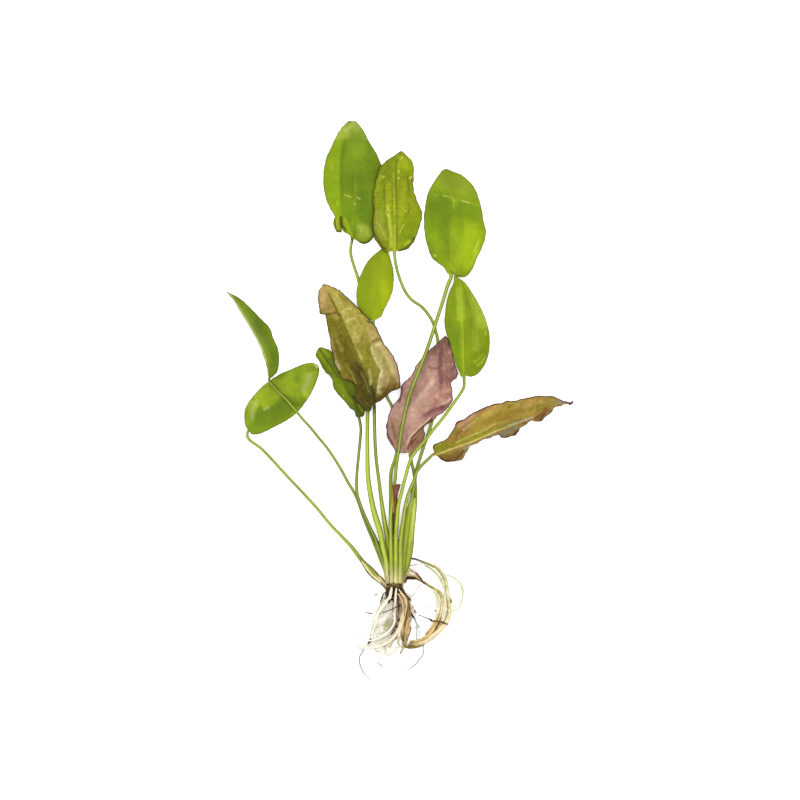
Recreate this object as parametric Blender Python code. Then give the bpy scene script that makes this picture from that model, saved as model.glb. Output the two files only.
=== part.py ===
"""A bare-root sword plant (Echinodorus) lying on a table.

Each leaf is one solid, stalk and blade together. The crown, the roots and a dry leaf strip are solids of
their own. Lengths in the lists below are millimetres: X to the right, Y towards the leaf tips and Z up, from
the point on the table under the middle of the plant.
"""
import math

import bmesh
import bpy
from mathutils import Vector, geometry

# Driving dimensions, in millimetres
BLADE_THICKNESS = 0.6
RIB_THICKNESS = 0.8
ROLLED_THICKNESS = 1.4
STRIP_THICKNESS = 0.5
STALK_FLATNESS = 0.95
CROWN_CENTRE = (-3.5, 3.9)
CROWN_TOP_Y = -100.8

MM = 0.001
UP = Vector((0, 0, 1))
RING_SIDES = 8
CROWN_SIDES = 14
KNOT_STEPS = 12
BULGE = 0.05
LAST_ROW = 0.994


def clear_scene():
    for item in list(bpy.data.objects):
        bpy.data.objects.remove(item)


def material(name, colour, roughness):
    made = bpy.data.materials.new(name)
    made.use_nodes = True
    shader = made.node_tree.nodes["Principled BSDF"]
    shader.inputs["Base Color"].default_value = (*colour, 1)
    shader.inputs["Roughness"].default_value = roughness
    shader.inputs["Metallic"].default_value = 0
    return made


def smooth_line(points, count):
    """count points at even steps along the smooth curve through the given ones."""
    knots = [Vector(point) for point in points]
    fine = [knots[0]]
    for i in range(len(knots) - 1):
        start, end = knots[i], knots[i + 1]
        before = knots[max(i - 1, 0)]
        after = knots[min(i + 2, len(knots) - 1)]
        span = (end - start).length
        leave = (end - before).normalized() * span / 3
        arrive = (after - start).normalized() * span / 3
        arc = geometry.interpolate_bezier(start, start + leave, end - arrive, end, KNOT_STEPS)
        fine += arc[1:]
    lengths = [0.0]
    for first, second in zip(fine, fine[1:]):
        lengths.append(lengths[-1] + (second - first).length)
    even = []
    k = 0
    for i in range(count):
        wanted = lengths[-1] * i / (count - 1)
        while k < len(lengths) - 2 and lengths[k + 1] < wanted:
            k += 1
        share = (wanted - lengths[k]) / (lengths[k + 1] - lengths[k])
        even.append(fine[k].lerp(fine[k + 1], min(share, 1)))
    return even


def between(values, share):
    """The value at this share of the way along an evenly spaced list."""
    place = share * (len(values) - 1)
    low = min(int(place), len(values) - 2)
    return values[low] + (values[low + 1] - values[low]) * (place - low)


def direction(points, i):
    return (points[min(i + 1, len(points) - 1)] - points[max(i - 1, 0)]).normalized()


def stalk_ring(centre, along, half_width):
    """An upright oval of points round the stalk, from its left side over the top."""
    across = along.cross(UP).normalized()
    lift = across.cross(along)
    ring = []
    for k in range(RING_SIDES):
        angle = math.pi * (1 - 2 * k / RING_SIDES)
        side = across * math.cos(angle) * half_width
        ring.append(centre + side + lift * math.sin(angle) * half_width * STALK_FLATNESS)
    return ring


def blade_ring(left, rib, right, along, rib_half, blade_half):
    """A thin section from edge to edge: a sharp edge at each side, and the rib thickest."""
    normal = (right - left).cross(along).normalized()
    left_middle = (left + rib) / 2 + normal * (left - rib).length * BULGE
    right_middle = (right + rib) / 2 + normal * (right - rib).length * BULGE
    return [
        left,
        left_middle + normal * blade_half,
        rib + normal * rib_half,
        right_middle + normal * blade_half,
        right,
        right_middle - normal * blade_half,
        rib - normal * rib_half,
        left_middle - normal * blade_half,
    ]


def loft(name, rings, paint):
    """One closed solid through the rings: a face is pushed out from each ring to the next, above the table."""
    mesh = bmesh.new()
    first = mesh.faces.new([mesh.verts.new(point * MM) for point in rings[0]])
    cap = first
    for ring in rings[1:]:
        pushed = bmesh.ops.extrude_face_region(mesh, geom=[cap])
        if cap is not first:
            bmesh.ops.delete(mesh, geom=[cap], context="FACES_ONLY")
        cap = next(item for item in pushed["geom"] if isinstance(item, bmesh.types.BMFace))
        for vertex, point in zip(cap.verts, ring):
            vertex.co = Vector((point.x, point.y, max(point.z, 0))) * MM
    bmesh.ops.triangulate(mesh, faces=mesh.faces[:])
    bmesh.ops.recalc_face_normals(mesh, faces=mesh.faces[:])
    data = bpy.data.meshes.new(name)
    mesh.to_mesh(data)
    mesh.free()
    data.shade_smooth()
    data.materials.append(paint)
    made = bpy.data.objects.new(name, data)
    bpy.context.scene.collection.objects.link(made)
    return made


def leaf(name, paint, stalk, widths, stalk_rings, rib, left, right, rows, thickness=BLADE_THICKNESS):
    """A whole leaf. Its stalk runs from the crown, and its two edges run from the blade's base to its tip."""
    base, tip = rib[0], rib[-1]
    centres = smooth_line([*stalk, base], stalk_rings)
    rings = []
    for i, centre in enumerate(centres):
        half_width = between(widths, i / (stalk_rings - 1)) / 2
        rings.append(stalk_ring(centre, direction(centres, i), half_width))
    fine = rows * KNOT_STEPS + 1
    ribs = smooth_line(rib, fine)
    lefts = smooth_line([base, *left, tip], fine)
    rights = smooth_line([base, *right, tip], fine)
    for row in range(1, rows + 1):
        share = min(row / rows, LAST_ROW)
        at = round(share * (fine - 1))
        fade = (1 - share) ** 3
        slim = max(RIB_THICKNESS, thickness) / 2
        rib_half = slim + (widths[-1] / 2 - slim) * fade
        narrow = min(1, 4 * (1 - share))
        rings.append(
            blade_ring(
                lefts[at],
                ribs[at],
                rights[at],
                direction(ribs, at),
                rib_half * max(narrow, 0.4),
                thickness / 2 * max(narrow, 0.4),
            )
        )
    return loft(name, rings, paint)


def root(name, paint, route, diameters, points, sides_step=1):
    """A tapering root: a curve with a round bevel and closed ends."""
    curve = bpy.data.curves.new(name, "CURVE")
    curve.dimensions = "3D"
    curve.twist_mode = "Z_UP"
    curve.bevel_depth = max(diameters) / 2 * MM
    curve.bevel_resolution = sides_step
    curve.use_fill_caps = True
    line = smooth_line(route, points)
    spline = curve.splines.new("POLY")
    spline.points.add(points - 1)
    for i, place in enumerate(line):
        spline.points[i].co = (*(place * MM), 1)
        spline.points[i].radius = between(diameters, i / (points - 1)) / max(diameters)
    curve.materials.append(paint)
    made = bpy.data.objects.new(name, curve)
    bpy.context.scene.collection.objects.link(made)
    return made


def crown(paint):
    """The rootstock: a short barrel with a collar. The table cuts its underside to a small flat."""
    x, z = CROWN_CENTRE
    outline = [(0, 4.3, 3.6), (0.9, 4.9, 4.1), (2.9, 4.6, 4.1), (4.6, 3.2, 3.0), (5.6, 1.8, 1.9)]
    rings = []
    for below, half_width, half_height in outline:
        ring = []
        for k in range(CROWN_SIDES):
            angle = 2 * math.pi * k / CROWN_SIDES
            height = max(z + half_height * math.sin(angle), 0)
            ring.append(Vector((x + half_width * math.cos(angle), CROWN_TOP_Y - below, height)))
        rings.append(ring)
    return loft("crown", rings, paint)


def dry_leaf_strip(paint):
    """A dry, flat strip of an old leaf that hangs from the crown."""
    route = [
        (1.5, -105.4, 4.7), (3.3, -108.3, 4.5), (4.3, -111.9, 4.0), (4.7, -116.3, 3.5),
        (4.7, -120.7, 3.0), (4.5, -126.2, 2.4), (3.7, -130.1, 1.9), (2.4, -132.8, 1.4),
    ]
    widths = [1.0, 1.2, 1.9, 2.6, 3.1, 3.3, 2.2, 0.8]
    count = 13
    centres = smooth_line(route, count)
    rings = []
    for i, centre in enumerate(centres):
        along = direction(centres, i)
        across = along.cross(UP).normalized() * between(widths, i / (count - 1)) / 2
        lift = across.cross(along).normalized() * STRIP_THICKNESS / 2
        ridge = lift * 1.6
        rings.append([centre - across, centre + ridge, centre + across, centre - lift])
    return loft("dry_leaf_strip", rings, paint)


def leaves():
    fresh = material("leaf_green", (0.24, 0.40, 0.03), 0.4)
    yellow = material("leaf_yellow_green", (0.36, 0.44, 0.03), 0.4)
    bronze = material("leaf_bronze", (0.25, 0.20, 0.05), 0.45)
    pink = material("leaf_pink", (0.45, 0.22, 0.20), 0.5)
    gold = material("leaf_gold", (0.30, 0.21, 0.05), 0.45)
    red = material("leaf_red_brown", (0.22, 0.09, 0.06), 0.5)

    leaf(
        "leaf_tall_left",
        fresh,
        stalk=[
            (-4.6, -100.3, 1.4), (-5.7, -87.7, 1.35), (-5.1, -71.2, 1.2), (-5.1, -54.7, 1.1), (-5.1, -39.3, 1.0),
            (-2.4, -29.9, 1.0), (-1.9, -18.9, 1.0), (-3.0, -9.6, 1.0), (-5.0, -2.4, 1.0), (-7.3, 2.0, 1.0),
            (-10.6, 14.1, 1.0), (-13.9, 27.8, 1.0), (-18.3, 47.1, 1.0), (-23.1, 66.3, 1.0), (-25.1, 72.9, 1.0),
            (-26.9, 78.7, 1.1), (-27.4, 82.8, 1.2),
        ],
        widths=[1.7, 1.8, 1.6, 1.6, 1.6],
        stalk_rings=17,
        rib=[
            (-26.6, 88.0, 1.3), (-24.9, 107.5, 1.5), (-24.4, 120.2, 1.5), (-25.8, 137.8, 1.2), (-26.6, 153.8, 0.3),
        ],
        left=[
            (-28.2, 91.1, 1.2), (-31.3, 93.0, 1.0), (-34.9, 99.3, 1.2), (-37.6, 103.7, 1.8), (-40.5, 109.9, 2.6),
            (-42.4, 120.4, 3.2), (-41.2, 131.8, 2.8), (-38.2, 138.6, 2.0), (-33.5, 148.5, 0.8), (-28.9, 153.5, 0.3),
        ],
        right=[
            (-24.4, 87.8, 0.9), (-19.8, 86.1, 0.6), (-14.9, 89.5, 0.3), (-11.2, 98.2, 0.0), (-7.9, 110.3, 0.0),
            (-7.9, 122.4, 0.2), (-10.7, 130.2, 0.6), (-13.1, 135.8, 0.9), (-17.2, 142.7, 0.8),
            (-21.6, 150.6, 0.4), (-24.4, 153.5, 0.3),
        ],
        rows=10,
    )
    leaf(
        "leaf_speckled_middle",
        yellow,
        stalk=[
            (-0.3, -100.3, 3.7), (0.9, -87.7, 3.7), (2.6, -76.7, 3.6), (4.2, -65.7, 3.4), (5.9, -57.4, 3.3),
            (7.0, -49.2, 3.3), (8.9, -38.2, 2.9), (10.9, -31.3, 2.0), (13.4, -23.6, 1.2), (16.0, -16.2, 1.0),
            (17.6, -10.4, 1.0), (20.2, 3.1, 1.0), (21.0, 21.2, 1.0), (20.6, 32.8, 1.0), (19.6, 37.7, 1.0),
            (18.0, 42.7, 1.0), (15.2, 47.6, 1.1), (11.4, 51.9, 1.3), (6.8, 54.9, 1.5), (3.1, 59.2, 2.0),
            (0.3, 65.2, 2.6), (-1.8, 72.0, 3.2), (-2.9, 77.6, 3.7),
        ],
        widths=[1.7, 1.9, 1.8, 1.7, 1.6],
        stalk_rings=22,
        rib=[
            (-3.3, 81.3, 4.0), (-2.9, 92.1, 4.2), (-2.5, 104.2, 4.0), (-2.9, 120.2, 3.4), (-2.1, 131.2, 2.2),
            (0.6, 137.4, 0.9),
        ],
        left=[
            (-9.4, 82.5, 3.6), (-12.8, 86.9, 3.4), (-15.0, 90.5, 2.6), (-15.6, 96.2, 2.2), (-14.4, 103.4, 3.2),
            (-15.4, 109.2, 2.4), (-14.6, 116.3, 2.6), (-12.5, 123.5, 3.4), (-10.3, 129.0, 2.4), (-5.3, 133.5, 1.6),
        ],
        right=[
            (2.4, 82.8, 2.6), (6.0, 85.3, 1.6), (8.4, 89.4, 0.8), (9.8, 93.8, 0.4), (11.4, 99.3, 0.8),
            (11.8, 103.4, 1.6), (9.6, 109.2, 2.4), (7.4, 115.5, 1.6), (7.2, 122.4, 0.6), (7.5, 127.3, 0.9),
            (6.4, 131.2, 1.4), (3.1, 135.3, 1.2),
        ],
        rows=12,
    )
    leaf(
        "leaf_broad_right",
        fresh,
        stalk=[
            (-4.6, -100.3, 6.0), (-5.0, -87.7, 6.1), (-5.2, -76.7, 6.1), (-5.3, -65.7, 6.0), (-4.4, -56.4, 5.8),
            (-2.8, -42.6, 5.7), (-2.1, -34.4, 6.0), (-0.9, -26.9, 6.4), (0.2, -18.7, 6.6), (2.2, -8.0, 6.6),
            (4.9, 2.5, 6.4), (8.4, 12.1, 6.0), (12.0, 21.2, 5.4), (15.5, 30.5, 4.6), (19.6, 43.2, 3.4),
            (23.7, 55.8, 2.4), (26.0, 63.5, 1.8),
        ],
        widths=[1.7, 1.9, 1.9, 2.0, 2.0],
        stalk_rings=14,
        rib=[
            (27.9, 68.0, 1.6), (27.5, 75.3, 1.8), (28.6, 88.3, 2.0), (28.8, 101.5, 1.9), (28.4, 111.4, 1.4),
            (25.3, 127.7, 0.3),
        ],
        left=[
            (26.4, 69.1, 1.4), (24.0, 72.9, 1.2), (20.5, 75.7, 1.0), (16.9, 79.0, 0.8), (15.2, 83.9, 0.4),
            (13.6, 90.5, 0.1), (12.9, 98.2, 0.0), (13.5, 105.9, 0.2), (15.0, 113.1, 0.6), (16.9, 117.5, 0.8),
            (19.6, 121.9, 0.8), (22.7, 126.3, 0.5),
        ],
        right=[
            (29.3, 69.6, 1.4), (31.7, 68.1, 1.2), (35.4, 68.1, 1.0), (38.9, 70.9, 0.7), (42.0, 77.9, 0.3),
            (45.5, 85.6, 0.0), (46.8, 90.3, 0.2), (47.0, 93.8, 0.5), (45.9, 98.2, 1.0), (44.6, 105.9, 1.4),
            (42.7, 112.5, 1.4), (40.5, 117.5, 1.0), (37.2, 121.3, 0.8), (32.8, 124.6, 0.5), (28.4, 126.3, 0.4),
        ],
        rows=11,
    )
    leaf(
        "leaf_small_oval",
        yellow,
        stalk=[
            (-6.9, -100.3, 6.2), (-7.2, -93.7, 6.3), (-7.9, -87.7, 6.5), (-9.6, -80.0, 6.1), (-11.0, -72.3, 5.8),
            (-13.4, -64.6, 5.4), (-15.4, -56.9, 5.0), (-17.5, -44.2, 4.4), (-18.0, -36.0, 4.0),
            (-18.1, -25.5, 3.6), (-18.1, -15.6, 3.4), (-18.0, -7.4, 3.3), (-17.5, 8.6, 3.3), (-16.4, 27.8, 3.2),
            (-15.3, 37.2, 3.0),
        ],
        widths=[1.7, 2.6, 2.2, 2.0, 1.8],
        stalk_rings=14,
        rib=[(-14.8, 43.5, 2.8), (-15.6, 55.3, 2.9), (-14.0, 69.0, 2.6), (-9.0, 84.4, 1.1)],
        left=[
            (-19.2, 46.0, 3.0), (-22.9, 50.3, 2.9), (-24.0, 55.5, 2.8), (-24.1, 59.9, 2.7), (-23.3, 64.6, 2.7),
            (-21.9, 68.7, 2.6), (-20.0, 73.1, 2.4), (-17.8, 76.7, 2.0), (-14.7, 80.0, 1.6), (-11.5, 82.6, 1.3),
        ],
        right=[
            (-12.8, 44.8, 2.6), (-10.3, 46.5, 2.2), (-9.0, 49.5, 1.8), (-7.1, 53.3, 1.4), (-5.1, 57.7, 1.2),
            (-4.0, 61.3, 1.2), (-3.6, 66.8, 1.4), (-3.9, 71.8, 1.6), (-5.1, 76.7, 1.4), (-6.5, 81.1, 1.2),
        ],
        rows=8,
    )
    leaf(
        "leaf_bronze",
        bronze,
        stalk=[
            (-4.7, -100.3, 3.7), (-5.7, -86.0, 3.9), (-6.8, -78.3, 4.2), (-7.7, -72.3, 4.5), (-9.0, -64.6, 5.0),
            (-10.4, -54.7, 5.6), (-11.7, -44.2, 6.2), (-13.0, -34.1, 6.8), (-13.8, -23.9, 7.4), (-14.1, -14.0, 8.0),
        ],
        widths=[1.7, 2.0, 1.9, 1.9],
        stalk_rings=9,
        rib=[
            (-14.3, -3.0, 8.5), (-18.3, 12.4, 8.6), (-22.9, 24.5, 8.0), (-29.9, 39.6, 7.0), (-35.0, 49.6, 5.6),
            (-39.8, 59.7, 3.4), (-42.5, 63.9, 1.6),
        ],
        left=[
            (-16.1, -5.9, 8.0), (-19.8, -5.4, 7.2), (-23.0, -1.3, 6.4), (-25.6, 2.8, 5.8), (-24.0, 6.9, 6.2),
            (-26.6, 10.2, 6.6), (-31.4, 11.9, 5.6), (-34.5, 16.8, 5.2), (-36.6, 22.9, 5.0), (-38.2, 30.0, 5.0),
            (-39.2, 37.7, 4.8), (-40.1, 43.8, 4.4), (-41.6, 47.0, 3.8), (-43.7, 47.8, 3.0), (-44.9, 54.8, 2.2),
            (-45.0, 59.2, 1.8),
        ],
        right=[
            (-13.0, -1.9, 8.4), (-8.7, 1.7, 7.8), (-5.7, 4.7, 7.0), (-0.6, 6.7, 5.8), (-0.1, 11.3, 5.6),
            (-0.8, 15.4, 6.0), (-2.9, 22.3, 6.6), (-6.8, 28.5, 6.8), (-8.7, 30.6, 6.6), (-11.4, 36.9, 6.2),
            (-14.8, 42.5, 5.8), (-18.9, 46.5, 5.4), (-22.9, 50.7, 5.0), (-29.3, 57.0, 4.2), (-35.0, 61.4, 3.0),
            (-39.2, 63.3, 2.2),
        ],
        rows=14,
    )
    leaf(
        "leaf_narrow_green",
        fresh,
        stalk=[
            (-7.0, -100.3, 3.7), (-7.9, -93.7, 3.7), (-9.9, -87.7, 3.7), (-11.8, -82.2, 3.8), (-13.4, -76.7, 3.8),
            (-16.4, -70.3, 3.9), (-19.8, -62.9, 3.9), (-23.0, -54.4, 3.9), (-24.0, -48.1, 3.8),
            (-23.9, -40.9, 3.6), (-23.0, -30.8, 3.3), (-22.0, -20.6, 3.0), (-21.7, -15.1, 2.8),
        ],
        widths=[1.6, 1.8, 1.7, 1.6],
        stalk_rings=11,
        rib=[
            (-22.6, -9.9, 2.6), (-25.1, -2.5, 2.6), (-31.4, 6.9, 2.2), (-36.6, 17.4, 2.0), (-43.1, 27.0, 1.6),
            (-44.7, 29.3, 1.4),
        ],
        left=[
            (-24.5, -8.8, 2.2), (-25.1, -6.3, 1.8), (-27.7, -4.1, 1.2), (-31.4, 0.3, 0.6), (-35.0, 4.3, 0.2),
            (-37.2, 8.0, 0.0), (-37.7, 11.9, 0.4), (-41.4, 15.9, 0.3), (-44.6, 21.8, 0.5), (-46.6, 25.4, 0.9),
        ],
        right=[
            (-19.9, -8.0, 2.9), (-20.0, 1.4, 3.4), (-23.8, 11.3, 3.6), (-29.9, 20.1, 3.4), (-35.4, 25.6, 3.0),
            (-38.7, 27.5, 2.6), (-42.0, 29.2, 2.0),
        ],
        rows=9,
    )
    leaf(
        "leaf_edge_on",
        fresh,
        stalk=[
            (-6.7, -100.3, 1.4), (-7.9, -94.3, 1.4), (-10.1, -88.8, 1.4), (-15.0, -77.2, 1.4), (-20.3, -64.0, 1.4),
            (-24.2, -53.0, 1.6), (-29.2, -44.2, 1.9), (-33.0, -37.1, 2.2), (-39.8, -26.6, 2.6),
            (-44.7, -20.6, 2.8), (-49.5, -14.7, 3.0), (-54.3, -9.4, 3.2), (-59.0, -3.5, 3.3), (-63.8, 2.0, 3.3),
            (-68.6, 6.7, 3.2),
        ],
        widths=[1.6, 1.6, 1.6, 1.5, 1.4],
        stalk_rings=12,
        rib=[
            (-72.1, 10.9, 3.0), (-71.9, 18.0, 4.2), (-73.6, 26.0, 5.4), (-80.4, 40.0, 5.8), (-87.0, 50.5, 4.6),
            (-95.7, 60.0, 2.2),
        ],
        left=[
            (-72.8, 14.6, 1.8), (-73.6, 19.2, 0.9), (-75.7, 25.1, 0.3), (-78.7, 31.1, 0.0), (-82.9, 39.4, 0.0),
            (-87.1, 46.5, 0.3), (-91.2, 54.4, 0.9),
        ],
        right=[
            (-70.3, 12.9, 3.6), (-68.0, 15.2, 5.4), (-66.7, 18.6, 7.6), (-66.4, 24.5, 10.0), (-67.3, 29.4, 11.4),
            (-69.5, 34.1, 12.2), (-71.5, 39.9, 12.4), (-76.3, 44.8, 11.0), (-81.6, 50.3, 8.6), (-86.6, 55.0, 6.0),
            (-91.2, 58.0, 3.8),
        ],
        rows=9,
    )
    leaf(
        "leaf_glossy_left",
        fresh,
        stalk=[
            (-9.4, -100.6, 2.2), (-12.0, -98.2, 1.8), (-15.8, -95.1, 1.4), (-20.0, -89.3, 1.3), (-22.5, -86.2, 1.2),
            (-26.0, -81.4, 1.2), (-32.3, -74.5, 1.1), (-38.7, -67.9, 1.0), (-47.0, -57.8, 1.0),
            (-61.8, -42.0, 1.0), (-75.7, -27.0, 1.0), (-79.3, -24.3, 1.0), (-82.6, -21.9, 1.1), (-84.2, -19.5, 1.3),
        ],
        widths=[1.4, 2.4, 1.7, 1.6, 1.6, 1.6, 1.6],
        stalk_rings=13,
        rib=[(-83.9, -17.0, 1.6), (-76.1, -8.5, 1.5), (-64.5, 2.0, 1.4), (-53.5, 12.4, 1.0), (-45.5, 19.8, 0.2)],
        left=[
            (-84.9, -14.8, 1.2), (-85.8, -10.7, 0.7), (-85.5, -5.2, 0.3), (-83.4, -0.5, 0.0), (-79.9, 3.6, 0.2),
            (-75.1, 8.6, 0.6), (-70.9, 11.6, 0.8), (-66.2, 14.6, 0.6), (-60.8, 16.8, 0.3), (-54.2, 19.8, 0.0),
            (-48.6, 20.9, 0.1),
        ],
        right=[
            (-82.2, -18.4, 1.2), (-78.0, -18.4, 0.8), (-73.3, -16.6, 0.3), (-67.3, -13.5, 0.0), (-61.4, -10.2, 0.2),
            (-56.0, -5.8, 0.4), (-51.3, 0.3, 0.4), (-47.6, 6.7, 0.2), (-45.6, 12.0, 0.0), (-44.4, 16.8, 0.2),
        ],
        rows=9,
    )
    leaf(
        "leaf_drooping_right",
        fresh,
        stalk=[
            (-2.4, -100.3, 6.2), (-2.4, -95.4, 6.3), (-2.5, -80.0, 6.6), (-2.3, -72.3, 6.8), (-1.8, -64.6, 7.0),
            (-1.0, -56.9, 7.2), (0.9, -49.2, 7.3), (2.6, -42.4, 7.4), (5.9, -31.6, 7.3), (8.9, -27.2, 7.2),
            (13.6, -21.7, 6.9), (18.5, -15.4, 6.2), (23.2, -9.8, 5.4), (27.7, -3.6, 4.6), (32.3, 2.9, 3.8),
            (34.9, 7.4, 3.3),
        ],
        widths=[1.7, 2.0, 1.9, 1.8, 1.7],
        stalk_rings=14,
        rib=[
            (35.0, 12.7, 3.0), (34.2, 22.9, 4.0), (33.8, 32.8, 4.2), (33.4, 39.4, 4.0), (33.1, 50.4, 3.4),
            (32.3, 57.0, 3.2), (30.6, 63.6, 3.4), (29.5, 69.6, 3.6),
        ],
        left=[
            (33.5, 12.4, 3.2), (32.6, 15.4, 3.6), (30.9, 19.0, 3.9), (28.7, 25.6, 4.0), (26.9, 32.5, 3.8),
            (25.2, 37.2, 3.4), (24.3, 42.1, 3.0), (24.6, 48.2, 2.6), (25.7, 55.3, 2.4), (27.3, 60.6, 2.6),
            (29.2, 65.0, 3.3),
        ],
        right=[
            (36.1, 13.0, 2.8), (40.5, 13.5, 2.0), (43.6, 15.7, 1.2), (46.3, 19.4, 0.5), (48.2, 24.1, 0.1),
            (49.1, 28.9, 0.0), (49.1, 36.1, 0.0), (48.0, 41.6, 0.3), (45.8, 47.9, 0.6), (42.7, 54.0, 0.9),
            (39.3, 59.7, 1.2), (35.7, 64.7, 1.6), (32.3, 67.4, 2.6),
        ],
        rows=10,
    )
    leaf(
        "leaf_pink",
        pink,
        stalk=[
            (-0.3, -100.2, 1.7), (1.0, -97.5, 2.0), (2.6, -93.7, 2.3), (4.5, -87.7, 2.5), (5.9, -80.0, 2.2),
            (6.6, -72.3, 1.8), (7.5, -64.6, 1.4), (8.4, -55.2, 1.1), (8.3, -45.9, 1.1), (7.3, -39.1, 1.2),
            (6.2, -34.3, 1.8),
        ],
        widths=[1.7, 1.9, 1.8, 1.6],
        stalk_rings=11,
        rib=[
            (5.3, -29.9, 2.6), (7.9, -22.0, 3.2), (12.5, -10.1, 3.4), (17.4, 2.0, 3.2), (21.3, 13.0, 3.0),
            (22.4, 24.0, 2.8), (24.7, 35.7, 2.0),
        ],
        left=[
            (1.3, -28.9, 2.6), (-2.2, -28.1, 2.8), (-4.8, -24.5, 2.2), (-7.4, -19.5, 1.6), (-8.1, -15.4, 2.0),
            (-7.1, -10.7, 2.8), (-5.5, -5.8, 2.6), (-3.8, -2.2, 3.0), (-0.8, 1.4, 2.4), (0.3, 7.4, 1.8),
            (2.3, 10.5, 1.4), (6.4, 14.0, 1.9), (8.4, 18.2, 1.4), (11.4, 22.3, 1.7), (15.5, 27.0, 1.9),
            (18.5, 30.0, 2.6), (21.6, 32.9, 2.6),
        ],
        right=[
            (8.4, -27.6, 2.4), (11.4, -23.5, 2.6), (13.6, -19.5, 2.8), (13.0, -14.9, 3.4), (17.1, -11.3, 2.8),
            (21.1, -7.8, 2.4), (24.7, -5.2, 2.0), (28.8, 0.3, 1.4), (28.9, 3.1, 1.2), (28.1, 6.9, 1.0),
            (28.3, 10.5, 1.2), (31.1, 12.6, 1.4), (31.3, 16.3, 1.6), (29.8, 21.2, 1.8), (28.3, 28.9, 1.8),
            (26.5, 33.9, 1.8),
        ],
        rows=15,
    )
    leaf(
        "leaf_gold",
        gold,
        stalk=[
            (-0.2, -100.3, 6.0), (0.1, -87.7, 6.0), (0.0, -80.0, 6.0), (0.6, -72.3, 6.0), (1.8, -64.6, 6.0),
            (2.9, -56.9, 6.0), (5.1, -49.2, 5.9), (7.3, -44.2, 5.7), (8.9, -39.4, 5.4), (11.3, -36.0, 5.0),
            (14.4, -32.9, 4.3),
        ],
        widths=[1.7, 1.9, 1.8, 1.7],
        stalk_rings=10,
        rib=[
            (17.6, -29.9, 3.5), (28.2, -26.1, 4.0), (36.9, -23.6, 4.6), (45.5, -19.8, 4.6), (54.3, -16.2, 4.4),
            (60.0, -14.0, 4.0), (68.6, -10.5, 3.4), (74.5, -8.2, 2.6), (86.0, -2.4, 1.4), (95.6, -1.3, 0.3),
        ],
        left=[
            (18.1, -24.4, 2.8), (21.3, -23.0, 2.4), (25.3, -21.0, 2.0), (28.8, -16.7, 1.4), (30.5, -12.3, 0.8),
            (35.0, -10.0, 1.2), (39.8, -7.0, 1.8), (45.5, -4.1, 1.4), (51.4, -1.7, 0.6), (55.9, -1.3, 0.2),
            (58.1, -0.2, 0.5), (62.9, 0.0, 1.0), (68.6, 1.1, 0.8), (74.5, 2.2, 0.2), (80.3, 2.5, 0.0),
            (85.5, 1.8, 0.4), (90.0, -0.2, 0.6),
        ],
        right=[
            (20.4, -30.8, 3.0), (22.9, -32.7, 2.2), (27.6, -33.4, 1.0), (32.8, -32.7, 0.4), (35.0, -31.3, 0.6),
            (36.0, -28.4, 1.4), (38.6, -24.7, 1.8), (43.3, -22.2, 1.6), (49.0, -19.8, 1.2), (53.7, -18.6, 1.0),
            (55.4, -19.8, 0.6), (58.1, -20.3, 0.2), (62.3, -19.2, 0.0), (65.3, -16.2, 0.4), (68.6, -12.9, 1.0),
            (72.1, -11.2, 0.8), (77.4, -11.2, 0.2), (80.3, -8.8, 0.0), (83.7, -5.3, 0.4), (84.9, -3.3, 0.6),
            (90.6, -1.5, 0.5),
        ],
        rows=15,
    )
    leaf(
        "leaf_young_rolled",
        red,
        stalk=[
            (-2.4, -100.3, 3.7), (-2.9, -87.7, 3.8), (-3.1, -76.7, 4.0), (-3.3, -64.6, 4.9), (-3.0, -60.5, 6.3),
            (-3.0, -56.9, 7.6),
        ],
        widths=[1.2, 1.0, 1.0, 1.4],
        stalk_rings=9,
        rib=[(-2.6, -54.7, 8.0), (-2.5, -50.8, 8.5), (-2.0, -48.1, 8.8), (-1.0, -46.6, 8.8), (0.5, -45.8, 8.8)],
        left=[(-3.5, -51.6, 8.3), (-3.9, -48.9, 8.6), (-3.6, -46.7, 8.8), (-1.6, -45.7, 8.8)],
        right=[(-1.9, -52.5, 8.3), (-1.0, -50.3, 8.6), (-0.2, -48.1, 8.8), (0.1, -46.8, 8.8)],
        rows=5,
        thickness=ROLLED_THICKNESS,
    )


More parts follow.
